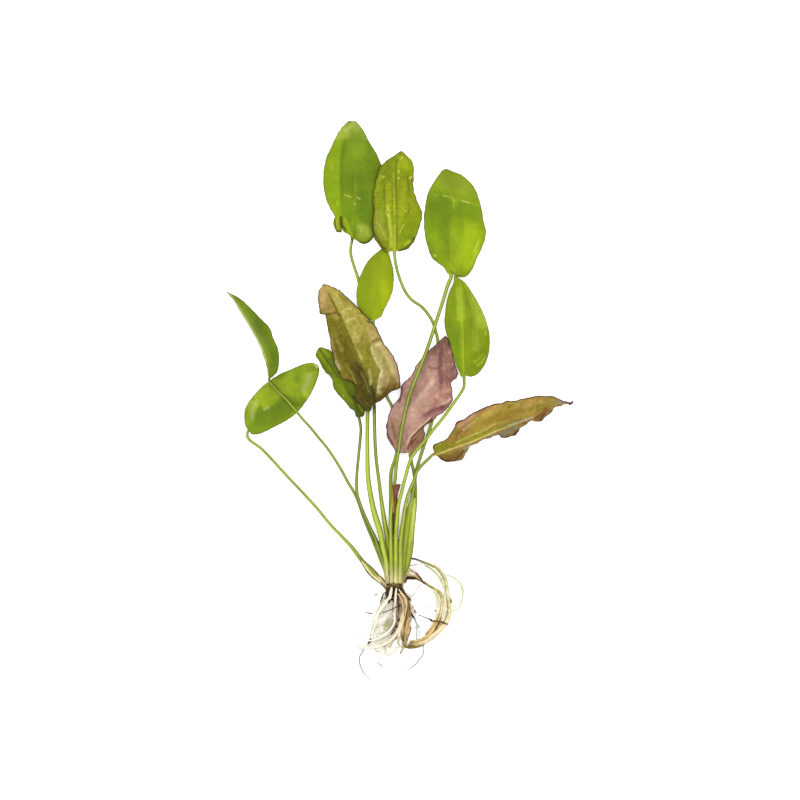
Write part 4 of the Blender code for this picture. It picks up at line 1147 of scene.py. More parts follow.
# %% The broad leaf at the right
BROAD_RIGHT_LEAF = {
    "stalk": points("""
    -4.6,-100.3,6 -5,-87.7,6.1 -5.2,-76.7,6.1 -5.3,-65.7,6 -4.4,-56.4,5.8 -2.8,-42.6,5.7 -2.1,-34.4,6
    -0.9,-26.9,6.4 0.2,-18.7,6.6 2.2,-8,6.6 4.9,2.5,6.4 8.4,12.1,6 12,21.2,5.4 15.5,30.5,4.6 19.6,43.2,3.4
    23.7,55.8,2.4 26,63.5,1.8
    """),
    "widths": [1.7, 1.9, 1.9, 2.0, 2.0],
    "rib": points("27.9,68,1.6 27.5,75.3,1.8 28.6,88.3,2 28.8,101.5,1.9 28.4,111.4,1.4 25.3,127.7,0.3"),
    "left": points("""
    26.4,69.1,1.4 24,72.9,1.2 20.5,75.7,1 16.9,79,0.8 15.2,83.9,0.4 13.6,90.5,0.1 12.9,98.2,0
    13.5,105.9,0.2 15,113.1,0.6 16.9,117.5,0.8 19.6,121.9,0.8 22.7,126.3,0.5
    """),
    "right": points("""
    29.3,69.6,1.4 31.7,68.1,1.2 35.4,68.1,1 38.9,70.9,0.7 42,77.9,0.3 45.5,85.6,0 46.8,90.3,0.2
    47,93.8,0.5 45.9,98.2,1 44.6,105.9,1.4 42.7,112.5,1.4 40.5,117.5,1 37.2,121.3,0.8 32.8,124.6,0.5
    28.4,126.3,0.4
    """),
}
counted(BROAD_RIGHT_LEAF)

# %% Looks of the broad leaf at the right
BROAD_RIGHT_LEAF_LOOK = {
    "stalk": ["#828C19", "#727F0F", "#64700C", "#68760C", "#6F800F"],
    "left": "#637904",
    "right": "#667A04",
    "base": ("#798A10", 0.16),
    "tip": ("#6B7E0D", 0.78),
    "rib": "#7C8D19",
    "rib_share": 0.55,
    "pucker": 0.07,
    "ripple": 0.02,
    "spacing": 0.3,
    "flare": (1.7, 0.3),
    "crumple": (0.05, 6.0),
    "facets": marks("""
    #5C7504 0.65 6.6 44.4,107 38.3,108.4 32.3,110.1 29,110.9 21.8,112.9 15.2,112.5
    #728609 0.5 4.4 28.4,108.1 29.2,92.7 29.2,70.7
    #5C7304 0.4 4.4 25.1,75.1 25.1,107
    #809309 0.5 5.5 34.5,103.7 35.6,88.3 34.5,74
    """),
    "folds": [
        (points("21.8,113.1 28.4,112 29.3,110.9 32.3,110.1 41.6,107.3"), 0.5, 0.35),
        ([(25.7, 107.6), (25.1, 77.3)], 1.4, -0.2),
        ([(33.9, 105.9), (35.0, 76.2)], 1.6, -0.2),
    ],
    "strokes": marks("""
    #6B7E0E 0.8 7.2 24,121.3 32.8,119.1
    #576E04 0.5 5 18,106.5 18.5,96
    #5C7204 0.7 2.8 25.1,107.6 25.1,78.4
    #728509 0.6 3.3 30.1,98.2 30.6,74
    #7F9206 0.85 7.7 41.1,91.6 37.2,78.4
    #8D9C24 0.75 0.8 43.3,88.3 40.5,81.7
    #8D9C24 0.6 0.7 42.7,82.8 38.3,75.1
    #5D7404 0.75 5 26.2,105.4 35,104.8 40.5,102.6
    #6D8304 0.8 3.9 19.6,89.4 24,76.2
    #869722 0.6 0.4 18.5,113.3 21.3,112.3
    #8F9C2A 0.5 0.3 25.7,112.2 27.9,111.8 29.5,110 32.1,110.3 33.9,109.6
    #909D2C 0.5 0.3 38.3,108.4 41.6,107.3 43.8,107.5
    #909D2E 0.5 0.3 28.8,111.7 29.5,108.7 29.2,105.9
    #A4AD3D 0.8 0.7 18.8,79.8 19.4,79.5
    #424A04 0.5 0.8 27.3,71.3 30.6,68.5 32.8,68.5
    #A5AD49 0.8 0.4 23.5,112.5 25.1,112.3
    #AAB24F 0.85 0.4 34.3,109.6 36.1,109.2 37.6,108.7
    #95A03A 0.6 0.3 26.2,112.1 28.4,111.7
    #78881F 0.35 6.6 25.1,120.2 31.7,119.1 36.1,115.8
    #919D30 0.5 0.7 43.3,88.3 41.1,82.8
    """),
    "foot": ("#B4AA7F", 13.0),
}
counted(BROAD_RIGHT_LEAF_LOOK)

# %% Finish and piece of the broad leaf at the right
broad_right_leaf_finish = leaf_material(
    "broad_right_leaf_finish",
    vein="#798B11", vein_share=0.07, net_share=0.25, rim="#374404", rough=0.4,
)
leaf_piece("broad_right_leaf", BROAD_RIGHT_LEAF, BROAD_RIGHT_LEAF_LOOK,
           broad_right_leaf_finish, "leaf_broad_right")

# %% [markdown]
# ## The small oval leaf
# The small blade is smooth, yellow-green and nearly flat, so its form is left plain.

# %% The small oval leaf
SMALL_OVAL_LEAF = {
    "stalk": points("""
    -6.9,-100.3,6.2 -7.2,-93.7,6.3 -7.9,-87.7,6.5 -9.6,-80,6.1 -11,-72.3,5.8 -13.4,-64.6,5.4 -15.4,-56.9,5
    -17.5,-44.2,4.4 -18,-36,4 -18.1,-25.5,3.6 -18.1,-15.6,3.4 -18,-7.4,3.3 -17.5,8.6,3.3 -16.4,27.8,3.2
    -15.3,37.2,3
    """),
    "widths": [1.7, 2.6, 2.2, 2.0, 1.8],
    "rib": points("-14.8,43.5,2.8 -15.6,55.3,2.9 -14,69,2.6 -9,84.4,1.1"),
    "left": points("""
    -19.2,46,3 -22.9,50.3,2.9 -24,55.5,2.8 -24.1,59.9,2.7 -23.3,64.6,2.7 -21.9,68.7,2.6 -20,73.1,2.4
    -17.8,76.7,2 -14.7,80,1.6 -11.5,82.6,1.3
    """),
    "right": points("""
    -12.8,44.8,2.6 -10.3,46.5,2.2 -9,49.5,1.8 -7.1,53.3,1.4 -5.1,57.7,1.2 -4,61.3,1.2 -3.6,66.8,1.4
    -3.9,71.8,1.6 -5.1,76.7,1.4 -6.5,81.1,1.2
    """),
}
counted(SMALL_OVAL_LEAF)

# %% Looks of the small oval leaf
SMALL_OVAL_LEAF_LOOK = {
    "stalk": ["#929C2A", "#899620", "#8F9C2A", "#869228", "#798818"],
    "left": "#6D7C04",
    "right": "#768504",
    "base": ("#7C8A04", 0.2),
    "tip": ("#6D7C04", 0.86),
    "rib": "#818D04",
    "rib_share": 0.4,
    "mottle_and_crease_shade": (0.04, 4.0),
    "facets": marks("""
    #6E7D04 0.5 5.5 -15.2,45.4 -12.3,60.8 -10.6,79.5
    """),
    "pucker": 0.06,
    "ripple": 0.05,
    "spacing": 0.34,
    "frill": 0.1,
    "flare": (1.4, 0.6),
    "strokes": marks("""
    #869404 0.8 3.3 -9,63.6 -7.9,53.1
    #788604 0.8 3.3 -13.4,74.6 -13.4,58.1
    #6A7C04 0.7 2.8 -21.1,61.9 -20,54.2
    #614608 0.85 0.6 -6.2,-93.7 -5.7,-97.6 -5.4,-101.4
    #785F19 0.8 0.4 -7.5,-97 -6.8,-101.4
    """),
    "foot": ("#B4AA7F", 14.0),
}
counted(SMALL_OVAL_LEAF_LOOK)

# %% Finish and piece of the small oval leaf
small_oval_leaf_finish = leaf_material(
    "small_oval_leaf_finish",
    vein="#8C9804", vein_share=0.2, net_share=0.2, rim="#525F04", rough=0.4, patch=0.1,
)
leaf_piece("small_oval_leaf", SMALL_OVAL_LEAF, SMALL_OVAL_LEAF_LOOK,
           small_oval_leaf_finish, "leaf_small_oval")

# %% [markdown]
# ## The bronze leaf
# The bronze blade is dark olive at its base and paler gold to the tip, with a pinkish right edge. Its
# edges are uneven and brown.

# %% The bronze leaf
BRONZE_LEAF = {
    "stalk": points("""
    -4.7,-100.3,3.7 -5.7,-86,3.9 -6.8,-78.3,4.2 -7.7,-72.3,4.5 -9,-64.6,5 -10.4,-54.7,5.6 -11.7,-44.2,6.2
    -13,-34.1,6.8 -13.8,-23.9,7.4 -14.1,-14,8
    """),
    "widths": [1.7, 2.0, 1.9, 1.9],
    "rib": points("""
    -14.3,-3,8.5 -18.3,12.4,8.6 -22.9,24.5,8 -29.9,39.6,7 -35,49.6,5.6 -39.8,59.7,3.4 -42.5,63.9,1.6
    """),
    "left": points("""
    -16.1,-5.9,8 -19.8,-5.4,7.2 -23,-1.3,6.4 -25.6,2.8,5.8 -24,6.9,6.2 -26.6,10.2,6.6 -31.4,11.9,5.6
    -34.5,16.8,5.2 -36.6,22.9,5 -38.2,30,5 -39.2,37.7,4.8 -40.1,43.8,4.4 -41.6,47,3.8 -43.7,47.8,3
    -44.9,54.8,2.2 -45,59.2,1.8
    """),
    "right": points("""
    -13,-1.9,8.4 -8.7,1.7,7.8 -5.7,4.7,7 -0.6,6.7,5.8 -0.1,11.3,5.6 -0.8,15.4,6 -2.9,22.3,6.6
    -6.8,28.5,6.8 -8.7,30.6,6.6 -11.4,36.9,6.2 -14.8,42.5,5.8 -18.9,46.5,5.4 -22.9,50.7,5 -29.3,57,4.2
    -35,61.4,3 -39.2,63.3,2.2
    """),
}
counted(BRONZE_LEAF)

# %% Looks of the bronze leaf
BRONZE_LEAF_LOOK = {
    "stalk": ["#798612", "#758012", "#6C7815", "#4C5706"],
    "left": "#686010",
    "right": "#877D38",
    "base": ("#3B3504", 0.44),
    "tip": ("#978337", 0.8),
    "rib": "#767D24",
    "rib_share": 0.6,
    "pucker": 0.34,
    "ripple": 0.2,
    "spacing": 0.34,
    "waves": 9,
    "frill": 0.5,
    "crumple": (1.2, 4.2),
    "flare": (1.7, 0.6),
    "mottle_and_crease_shade": (0.26, 3.0),
    "facets": marks("""
    #948B41 0.7 5 -39.4,58.9 -34.7,50.9 -29.8,39.9 -25.5,30.6 -22.6,24.5
    #645D13 0.8 3.9 -22.6,24.5 -25.5,30.6 -29.8,39.9 -34.7,50.9 -39.4,58.9
    #A39B57 0.85 2.8 -26.2,36.1 -24.6,30 -22.5,24.5
    #736A21 0.7 2.8 -21.1,27.8 -24.4,34.4 -27.1,42.1
    #998853 0.7 4.4 -18.9,37.2 -16.1,31.7 -15,29.5 -16.1,25.6
    #9B8D5D 0.8 3.3 -16.1,28.9 -15,26.4 -12.6,20.1 -10.1,16.6 -11.9,9.1 -12.6,4.7
    #5C490C 0.8 3.3 -0.7,10 -6.8,7.5 -11.7,4.2
    #997F3F 0.8 5 -35.1,49 -37.6,53.7 -39.4,59.2
    #787230 0.6 2.8 -37,45.4 -34.8,36.6 -31,26.7 -26.6,17.9
    #4D4604 0.7 4.4 -16.1,4.7 -20,13.5 -24.4,21.2 -29.9,27.8
    """),
    "bites": [(-41.6, 47.0, 0.9, 0.6)],
    "folds": [
        (points("-39.8,59.7 -34.3,48.2 -27.7,35 -22.2,24.5 -18.3,15.7 -14.5,2.5"), 1.2, 0.6),
        (points("-20.5,41.6 -17.8,33.9 -15.6,28.4 -16.1,23.4 -12.3,17.9 -12.3,6.9"), 0.8, 0.6),
        (points("-37,44.3 -35.1,36.6 -31.5,30.6 -27.7,22.3"), 0.8, 0.5),
        (points("-43.1,47.4 -38.4,47.4 -34.8,48.7"), 0.7, -0.6),
    ],
    "strokes": marks("""
    #6C6810 0.8 3.9 -18.9,28.9 -16.7,17.9 -15.6,10.2
    #574F04 0.85 5 -33.2,31.1 -27.7,21.2 -23.8,11.3
    #9C9344 0.5 2.2 -35.9,58.6 -32.1,50.9 -27.7,42.1 -24.4,33.3
    #93883F 0.8 1.7 -29.9,55.3 -24.4,46.5 -20,38.8
    #796D26 0.8 1.7 -32.6,57.5 -24.4,52 -17.8,44.3 -14.5,39.9
    #7B7224 0.7 1.7 -22.7,45.4 -19.4,37.7 -17.2,31.1
    #92824F 0.8 1.7 -13.4,37.7 -11.2,33.3
    #6A5921 0.8 0.9 -15.6,32.2 -11.7,33.9 -9,31.7
    #9E8D5D 0.85 1.9 -10.6,30 -6.8,23.4 -3.5,14.6
    #8C7D4B 0.8 1.4 -9,19 -6.8,11.3
    #3B3404 0.9 4.4 -23.8,17.9 -20,11.3 -17.8,2.5 -16.1,-3
    #433B04 0.85 3.9 -22.2,5.8 -20.5,-0.8
    #2C2604 0.85 0.9 -16.1,9.1 -14.1,1.4 -13.4,-4.1
    #7A7330 0.8 1.3 -36.5,41 -34.8,34.4 -32.1,27.8
    #5C5704 0.65 1.8 -36.1,43.2 -33.7,35.5 -31,31.1 -27.7,24.5
    #585004 0.7 0.7 -39.2,58.6 -37,53.7 -33.7,47.6 -29.9,39.9 -26.6,32.2
    #766D21 0.6 0.5 -32.8,50.4 -30.4,52.6 -28.2,53.1
    #72681F 0.55 0.4 -31,45.4 -28.2,47.3 -26,47.6
    #766D24 0.6 0.6 -27.9,39.9 -25.5,42.1 -23.3,43.2
    #A89F5D 0.7 0.6 -32.1,48.7 -29.3,50.4 -27.1,50.4
    #ABA364 0.7 0.6 -29.3,43.2 -27.1,44.9 -24.9,45.1
    #685F10 0.6 0.7 -26.3,26.7 -23.8,29.5 -21.6,32.8 -20,36.6
    #ADA568 0.6 0.5 -35.9,55.9 -34,53.7 -32.6,53.7
    #3D3604 0.7 0.7 -26,19 -22.9,14.6 -21.1,9.1 -18.9,2.5
    #7A7230 0.6 0.5 -29.9,19.6 -26.6,15.2 -24.4,9.7
    #857F41 0.5 0.4 -21.4,15.2 -18.9,10.2 -17.4,4.7
    #A08857 0.9 2.2 -42.2,59.7 -42.5,52
    #907743 0.85 1.1 -42,48.7 -37.6,49.8
    #5C4913 0.9 0.6 -43.1,47.1 -38.4,47.2 -35.4,48.5 -33.2,46.5
    #806E3D 0.8 1.7 -38.7,34.4 -37,25.6 -34.3,19
    #998D74 0.7 0.9 -35.7,21.2 -33.5,17.4
    #5C461C 0.8 0.8 -33.2,15.7 -29.9,12.4 -26.6,11.3
    #B0A76C 0.75 0.7 -16,28.9 -15,25.6 -12.5,20.1 -10.1,16.6
    #B9B07F 0.8 0.6 -10.1,16.6 -11.4,12.4 -12,8 -12.5,4.2
    #A19A5B 0.6 1 -16.9,16.8 -16.1,9.1
    #A09761 0.6 1.1 -9.5,25.6 -11.7,20.1
    #B0A674 0.8 1.1 -12.8,30.3 -10.8,31.5
    #977B64 0.85 2 -5.1,27.8 -1.8,19 -0.7,10.2
    #6B4938 0.8 0.7 -2.1,25.1 -0.2,19 0.8,12.4 0.1,8
    #392A04 0.85 0.7 -17.8,43.6 -13.4,41 -10.4,38.8 -8.4,34.4 -6.4,31.7 -4,28.4
    #92745F 0.7 1.3 -9,35.5 -7.9,31.1 -5.1,26.7
    #876C43 0.7 1.4 -15.6,42.1 -12.3,36.6
    #937C4F 0.6 1.7 -6.8,15.7 -7.9,9.1 -10.6,4.7
    #684F1C 0.9 1.7 -9,5.8 -4.6,8 -1.8,9.1
    #4B3904 0.85 1.1 -12.3,0.3 -7.9,4.2 -2.4,6.6
    #928F68 0.7 0.4 -22.9,-2.2 -20.5,-4.8 -17.2,-5.7
    #221904 0.9 0.9 -25.5,2.5 -23.3,-1.9 -18.9,-5.7
    """),
    "spotted": [
        (points("-35.9,52.6 -26.6,33.3 -19.4,19.6"), 8.8),
        ([(-7.9, 27.8), (-3.5, 13.5)], 4.4),
    ],
    "foot": ("#A99D6B", 12.0),
}
counted(BRONZE_LEAF_LOOK)

# %% Finish and piece of the bronze leaf
bronze_leaf_finish = leaf_material(
    "bronze_leaf_finish",
    vein="#8F8641", vein_share=0.14, net_share=0.3, rim="#28130C", rough=0.46, spot="#4E3D04",
    spot_share=0.35, patch=0.14, mottle_and_crease_shade=0.07, rim_width=1.05, rim_share=0.95,
)
leaf_piece("bronze_leaf", BRONZE_LEAF, BRONZE_LEAF_LOOK, bronze_leaf_finish, "leaf_bronze")

# %% [markdown]
# ## The green leaf under the bronze one
# Half of this blade is hidden, but it is a whole leaf like the others. Its far end is folded short.

# %% The green leaf under the bronze one
NARROW_GREEN_LEAF = {
    "stalk": points("""
    -7,-100.3,3.7 -7.9,-93.7,3.7 -9.9,-87.7,3.7 -11.8,-82.2,3.8 -13.4,-76.7,3.8 -16.4,-70.3,3.9
    -19.8,-62.9,3.9 -23,-54.4,3.9 -24,-48.1,3.8 -23.9,-40.9,3.6 -23,-30.8,3.3 -22,-20.6,3 -21.7,-15.1,2.8
    """),
    "widths": [1.6, 1.8, 1.7, 1.6],
    "rib": points("-22.6,-9.9,2.6 -25.1,-2.5,2.6 -31.4,6.9,2.2 -36.6,17.4,2 -43.1,27,1.6 -44.7,29.3,1.4"),
    "left": points("""
    -24.5,-8.8,2.2 -25.1,-6.3,1.8 -27.7,-4.1,1.2 -31.4,0.3,0.6 -35,4.3,0.2 -37.2,8,0 -37.7,11.9,0.4
    -41.4,15.9,0.3 -44.6,21.8,0.5 -46.6,25.4,0.9
    """),
    "right": points("""
    -19.9,-8,2.9 -20,1.4,3.4 -23.8,11.3,3.6 -29.9,20.1,3.4 -35.4,25.6,3 -38.7,27.5,2.6 -42,29.2,2
    """),
}
counted(NARROW_GREEN_LEAF)

# %% Looks of the green leaf under the bronze one
NARROW_GREEN_LEAF_LOOK = {
    "stalk": ["#758015", "#56650B", "#616E19", "#505D0B"],
    "left": "#546204",
    "right": "#4F5C04",
    "base": ("#3B4504", 0.25),
    "tip": ("#5C6904", 0.8),
    "rib": "#6C7704",
    "rib_share": 0.5,
    "pucker": 0.16,
    "ripple": 0.14,
    "spacing": 0.36,
    "frill": 0.3,
    "flare": (1.6, 0.4),
    "crumple": (0.15, 4.0),
    "folds": [
        (points("-45.8,27.8 -41.4,20.1 -35.9,11.3 -29.9,2.5"), 0.6, 0.5),
    ],
    "strokes": marks("""
    #6A7B04 0.85 1.2 -45,26.7 -42,21.8 -38.1,16.3
    #677804 0.8 0.9 -42.5,27.8 -39.2,24.5
    #3B4604 0.8 0.6 -44.5,28.4 -40.9,22.9 -37,17.4 -34.3,13
    #5F7204 0.85 1.4 -36.5,13.5 -32.1,5.8 -27.7,-0.2
    #435004 0.8 1.7 -29.9,9.1 -27.7,3.6
    #818F04 0.85 0.4 -31.8,3.4 -31,2
    #333E04 0.8 1 -26.6,2.5 -23.3,-1.9
    #727D04 0.85 0.9 -22.7,-1.9 -20.5,-5.7
    #333A04 0.8 0.6 -24.9,-1.9 -23.3,-6.3
    """),
}
counted(NARROW_GREEN_LEAF_LOOK)

# %% Finish and piece of the green leaf under the bronze one
narrow_green_leaf_finish = leaf_material(
    "narrow_green_leaf_finish",
    vein="#6A7704", vein_share=0.4, net_share=0.3, rim="#242E04", rough=0.36,
)
leaf_piece("narrow_green_leaf", NARROW_GREEN_LEAF, NARROW_GREEN_LEAF_LOOK,
           narrow_green_leaf_finish, "leaf_narrow_green")

# %% [markdown]
# ## The leaf that stands on its edge
# This blade stands nearly upright, so from above only a narrow band of it shows, with light glancing off
# its lower side. That glancing light is painted as a pale band and a white line along the lower edge.

# %% The leaf that stands on its edge
EDGE_ON_LEAF = {
    "stalk": points("""
    -6.7,-100.3,1.4 -7.9,-94.3,1.4 -10.1,-88.8,1.4 -15,-77.2,1.4 -20.3,-64,1.4 -24.2,-53,1.6
    -29.2,-44.2,1.9 -33,-37.1,2.2 -39.8,-26.6,2.6 -44.7,-20.6,2.8 -49.5,-14.7,3 -54.3,-9.4,3.2
    -59,-3.5,3.3 -63.8,2,3.3 -68.6,6.7,3.2
    """),
    "widths": [1.6, 1.6, 1.6, 1.5, 1.4],
    "rib": points("-72.1,10.9,3 -71.9,18,4.2 -73.6,26,5.4 -80.4,40,5.8 -87,50.5,4.6 -95.7,60,2.2"),
    "left": points("""
    -72.8,14.6,1.8 -73.6,19.2,0.9 -75.7,25.1,0.3 -78.7,31.1,0 -82.9,39.4,0 -87.1,46.5,0.3 -91.2,54.4,0.9
    """),
    "right": points("""
    -70.3,12.9,3.6 -68,15.2,5.4 -66.7,18.6,7.6 -66.4,24.5,10 -67.3,29.4,11.4 -69.5,34.1,12.2
    -71.5,39.9,12.4 -76.3,44.8,11 -81.6,50.3,8.6 -86.6,55,6 -91.2,58,3.8
    """),
}
counted(EDGE_ON_LEAF)

# %% Looks of the leaf that stands on its edge
EDGE_ON_LEAF_LOOK = {
    "stalk": ["#728013", "#69790F", "#687B0A", "#687B0A", "#637608"],
    "left": "#5F6F04",
    "right": "#546704",
    "base": ("#4C5F04", 0.1),
    "tip": ("#5C6F04", 0.85),
    "rib": "#5A6E04",
    "rib_share": 0.3,
    "pucker": 0.08,
    "ripple": 0.08,
    "spacing": 0.34,
    "frill": 0.12,
    "flare": (1.6, 0.2),
    # The last two strokes, a pale band and a near-white line along the lower edge, are a painted highlight.
    "strokes": marks("""
    #667704 0.5 1 -93.1,58.9 -88.7,53.4 -82.7,44.9 -77.7,37.2 -73.6,29.5 -71.3,21.8
    #4A5D04 0.8 2.2 -78.3,43.2 -72.8,33.3 -68.9,23.4
    #929F53 0.7 1.1 -93.9,58.6 -90.7,53.7 -85.2,44.9 -80.5,37.2 -76.6,29.5 -73.9,21.8
    #DDDDCB 0.95 0.7 -93.3,55.9 -88.5,48.7 -83.8,41.2 -79.6,33.9 -76.3,26.7
    """),
}
counted(EDGE_ON_LEAF_LOOK)

# %% Finish and piece of the leaf that stands on its edge
edge_on_leaf_finish = leaf_material(
    "edge_on_leaf_finish",
    vein="#576D04", vein_share=0.3, net_share=0.25, rim="#273704", rough=0.42,
)
leaf_piece("edge_on_leaf", EDGE_ON_LEAF, EDGE_ON_LEAF_LOOK,
           edge_on_leaf_finish, "leaf_edge_on")

# %% [markdown]
# ## The glossy leaf at the left
# Water still lies on this blade. A thin clear coat over the green and painted pale highlights give it its
# wet shine.

# %% The glossy leaf at the left
GLOSSY_LEFT_LEAF = {
    "stalk": points("""
    -9.4,-100.6,2.2 -12,-98.2,1.8 -15.8,-95.1,1.4 -20,-89.3,1.3 -22.5,-86.2,1.2 -26,-81.4,1.2
    -32.3,-74.5,1.1 -38.7,-67.9,1 -47,-57.8,1 -61.8,-42,1 -75.7,-27,1 -79.3,-24.3,1 -82.6,-21.9,1.1
    -84.2,-19.5,1.3
    """),
    "widths": [1.4, 2.4, 1.7, 1.6, 1.6, 1.6, 1.6],
    "rib": points("-83.9,-17,1.6 -76.1,-8.5,1.5 -64.5,2,1.4 -53.5,12.4,1 -45.5,19.8,0.2"),
    "left": points("""
    -84.9,-14.8,1.2 -85.8,-10.7,0.7 -85.5,-5.2,0.3 -83.4,-0.5,0 -79.9,3.6,0.2 -75.1,8.6,0.6 -70.9,11.6,0.8
    -66.2,14.6,0.6 -60.8,16.8,0.3 -54.2,19.8,0 -48.6,20.9,0.1
    """),
    "right": points("""
    -82.2,-18.4,1.2 -78,-18.4,0.8 -73.3,-16.6,0.3 -67.3,-13.5,0 -61.4,-10.2,0.2 -56,-5.8,0.4 -51.3,0.3,0.4
    -47.6,6.7,0.2 -45.6,12,0 -44.4,16.8,0.2
    """),
}
counted(GLOSSY_LEFT_LEAF)

# %% Looks of the glossy leaf at the left
GLOSSY_LEFT_LEAF_LOOK = {
    "stalk": ["#615712", "#798419", "#728111", "#708010", "#6B7D0D"],
    "left": "#677B04",
    "right": "#697B04",
    "base": ("#5D7004", 0.25),
    "tip": ("#7C8809", 0.72),
    "rib": "#7D8A11",
    "rib_share": 0.5,
    "pucker": 0.12,
    "ripple": 0.14,
    "spacing": 0.34,
    "waves": 6,
    "frill": 0.15,
    "crumple": (0.1, 4.4),
    "side_shade": 0.35,
    "mottle_and_crease_shade": (0.12, 3.2),
    "facets": marks("""
    #84921F 0.8 5 -48.6,19 -50.4,14.1 -52,10.2 -53.1,4.7
    #7F8D17 0.75 6.1 -81.6,-11.2 -79.4,-5.7 -77.2,-2.2 -74.4,-5.2 -71.1,-3 -67.8,-0.6 -64,2.8
    #546A04 0.7 6.6 -55.2,2.5 -64,2.8 -67.8,-0.6 -71.1,-3 -74.4,-5.2 -77.2,-2.2 -79.4,-5.7 -81.6,-11.2
    #627604 0.7 4.4 -45.3,19.6 -51.9,19.2 -56.3,16.5 -58.5,10.2
    #758610 0.6 3.9 -59.6,6.9 -55.2,11.3 -52.4,15.7
    #818F1F 0.6 2.5 -78.3,-0.8 -76.1,2 -72.8,5.3
    #798815 0.5 2.8 -65.1,9.1 -61.8,12.1 -57.4,14.6
    """),
    # The pale grey-green strokes near the end of the list are painted highlights of the wet gleam.
    "strokes": marks("""
    #7A8A0E 0.5 5 -62.9,8 -56.3,4.7 -51.9,9.1
    #5F7404 0.4 3.6 -57.4,14.6 -53.5,17.9 -48.6,19
    #536904 0.7 1.9 -56.8,16.3 -56.8,10.8
    #818F1D 0.8 2.5 -51.3,13.5 -49.1,9.1 -51.3,3.1
    #74860B 0.75 4.4 -76.1,2.5 -71.7,0.3 -67.8,3.6
    #7F8D1E 0.75 2.8 -82.7,-1.9 -81,-6.3 -81,-10.7
    #516704 0.9 5.5 -78.3,-10.7 -70.6,-8.5 -62.3,-2.4
    #5D7404 0.85 2.5 -83.8,-14 -79.4,-16.7 -72.8,-15.6
    #6C8104 0.75 1.7 -84.6,-6.3 -84.5,-12.9
    #6F8304 0.7 2.8 -62.3,13.5 -57.4,16.3
    #536904 0.6 1.7 -64,2.5 -59.6,0.3 -56.3,-1.9
    #455B04 0.4 0.9 -66.2,1.4 -61.8,-0.8 -56.3,-2.4
    #9FA92E 0.8 0.5 -47.5,19.8 -45.5,18.5
    #5D6F05 0.7 0.8 -44.9,17.9 -45.3,12.4 -47.7,5.8
    #8E9A5B 0.4 1.4 -79.4,-0.6 -81.2,-5.2 -81.2,-9.6
    #939D65 0.5 0.6 -75,-5.2 -73.3,-4.1 -72.2,-4.1
    #8D9958 0.5 1.9 -53.2,5.8 -51.3,9.7 -49.7,13.5
    #AFB685 0.8 0.5 -46.7,19.4 -45.6,18.2
    """),
}
counted(GLOSSY_LEFT_LEAF_LOOK)

# %% Finish and piece of the glossy leaf at the left
glossy_left_leaf_finish = leaf_material(
    "glossy_left_leaf_finish",
    vein="#899319", vein_share=0.07, net_share=0.25, rim="#374504", rough=0.38, coat=0.05,
)
sheet = bmesh.new()
leaf_skin(sheet, GLOSSY_LEFT_LEAF, GLOSSY_LEFT_LEAF_LOOK)
strip(
    sheet,
    points("""
    -23.6,-86.1,2.2 -22.4,-88,2.5 -19.6,-92.5,2.9 -16.6,-96.6,3.2 -13.2,-99.2,3.3 -9.8,-102,3.4
    -7.6,-104.5,3.6
    """),
    points("""
    -21.9,-85,2.2 -20.6,-87,2.8 -15.9,-91,3.5 -12.4,-94.7,3.9 -8.5,-98.7,4.2 -6.4,-101.2,4.4
    -5.7,-103.1,4.4
    """),
    -0.12, 0.35, ["#432A04", "#B1A573", "#C5BB93", "#B4AC75", "#838531", "#928C4A", "#7B6B31", "#3E2404"],
    rows=60, ragged=0.2,
    strokes=marks("""
    #63720F 0.85 0.6 -21.6,-86.6 -18.4,-89.5 -15.8,-93.4 -14.5,-95.4
    #556404 0.8 1.4 -23.8,-84.9 -21.6,-87.1
    #2E1804 0.95 0.6 -22.3,-88 -19.5,-92.5 -16.4,-96.4 -13.1,-99.1 -9.7,-101.9 -7.3,-104.7
    #2E1804 0.9 0.6 -20,-87.7 -15.8,-91 -12.4,-94.7 -8.5,-98.7 -6,-102
    #55380F 0.75 1.6 -9.5,-99.8 -5.9,-104.2
    #BEB48D 0.8 0.5 -11.7,-97 -7.6,-101.7
    """),
)
finished_piece(sheet, "glossy_left_leaf", glossy_left_leaf_finish, ["leaf_glossy_left"])

# %% [markdown]
# ## The leaf under the broad one
# A side vein is folded sharply, so the right part of the blade faces the light, and that part is painted
# paler.

# %% The leaf under the broad one
DROOPING_RIGHT_LEAF = {
    "stalk": points("""
    -2.4,-100.3,6.2 -2.4,-95.4,6.3 -2.5,-80,6.6 -2.3,-72.3,6.8 -1.8,-64.6,7 -1,-56.9,7.2 0.9,-49.2,7.3
    2.6,-42.4,7.4 5.9,-31.6,7.3 8.9,-27.2,7.2 13.6,-21.7,6.9 18.5,-15.4,6.2 23.2,-9.8,5.4 27.7,-3.6,4.6
    32.3,2.9,3.8 34.9,7.4,3.3
    """),
    "widths": [1.7, 2.0, 1.9, 1.8, 1.7],
    "rib": points("""
    35,12.7,3 34.2,22.9,4 33.8,32.8,4.2 33.4,39.4,4 33.1,50.4,3.4 32.3,57,3.2 30.6,63.6,3.4 29.5,69.6,3.6
    """),
    "left": points("""
    33.5,12.4,3.2 32.6,15.4,3.6 30.9,19,3.9 28.7,25.6,4 26.9,32.5,3.8 25.2,37.2,3.4 24.3,42.1,3
    24.6,48.2,2.6 25.7,55.3,2.4 27.3,60.6,2.6 29.2,65,3.3
    """),
    "right": points("""
    36.1,13,2.8 40.5,13.5,2 43.6,15.7,1.2 46.3,19.4,0.5 48.2,24.1,0.1 49.1,28.9,0 49.1,36.1,0 48,41.6,0.3
    45.8,47.9,0.6 42.7,54,0.9 39.3,59.7,1.2 35.7,64.7,1.6 32.3,67.4,2.6
    """),
}
counted(DROOPING_RIGHT_LEAF)

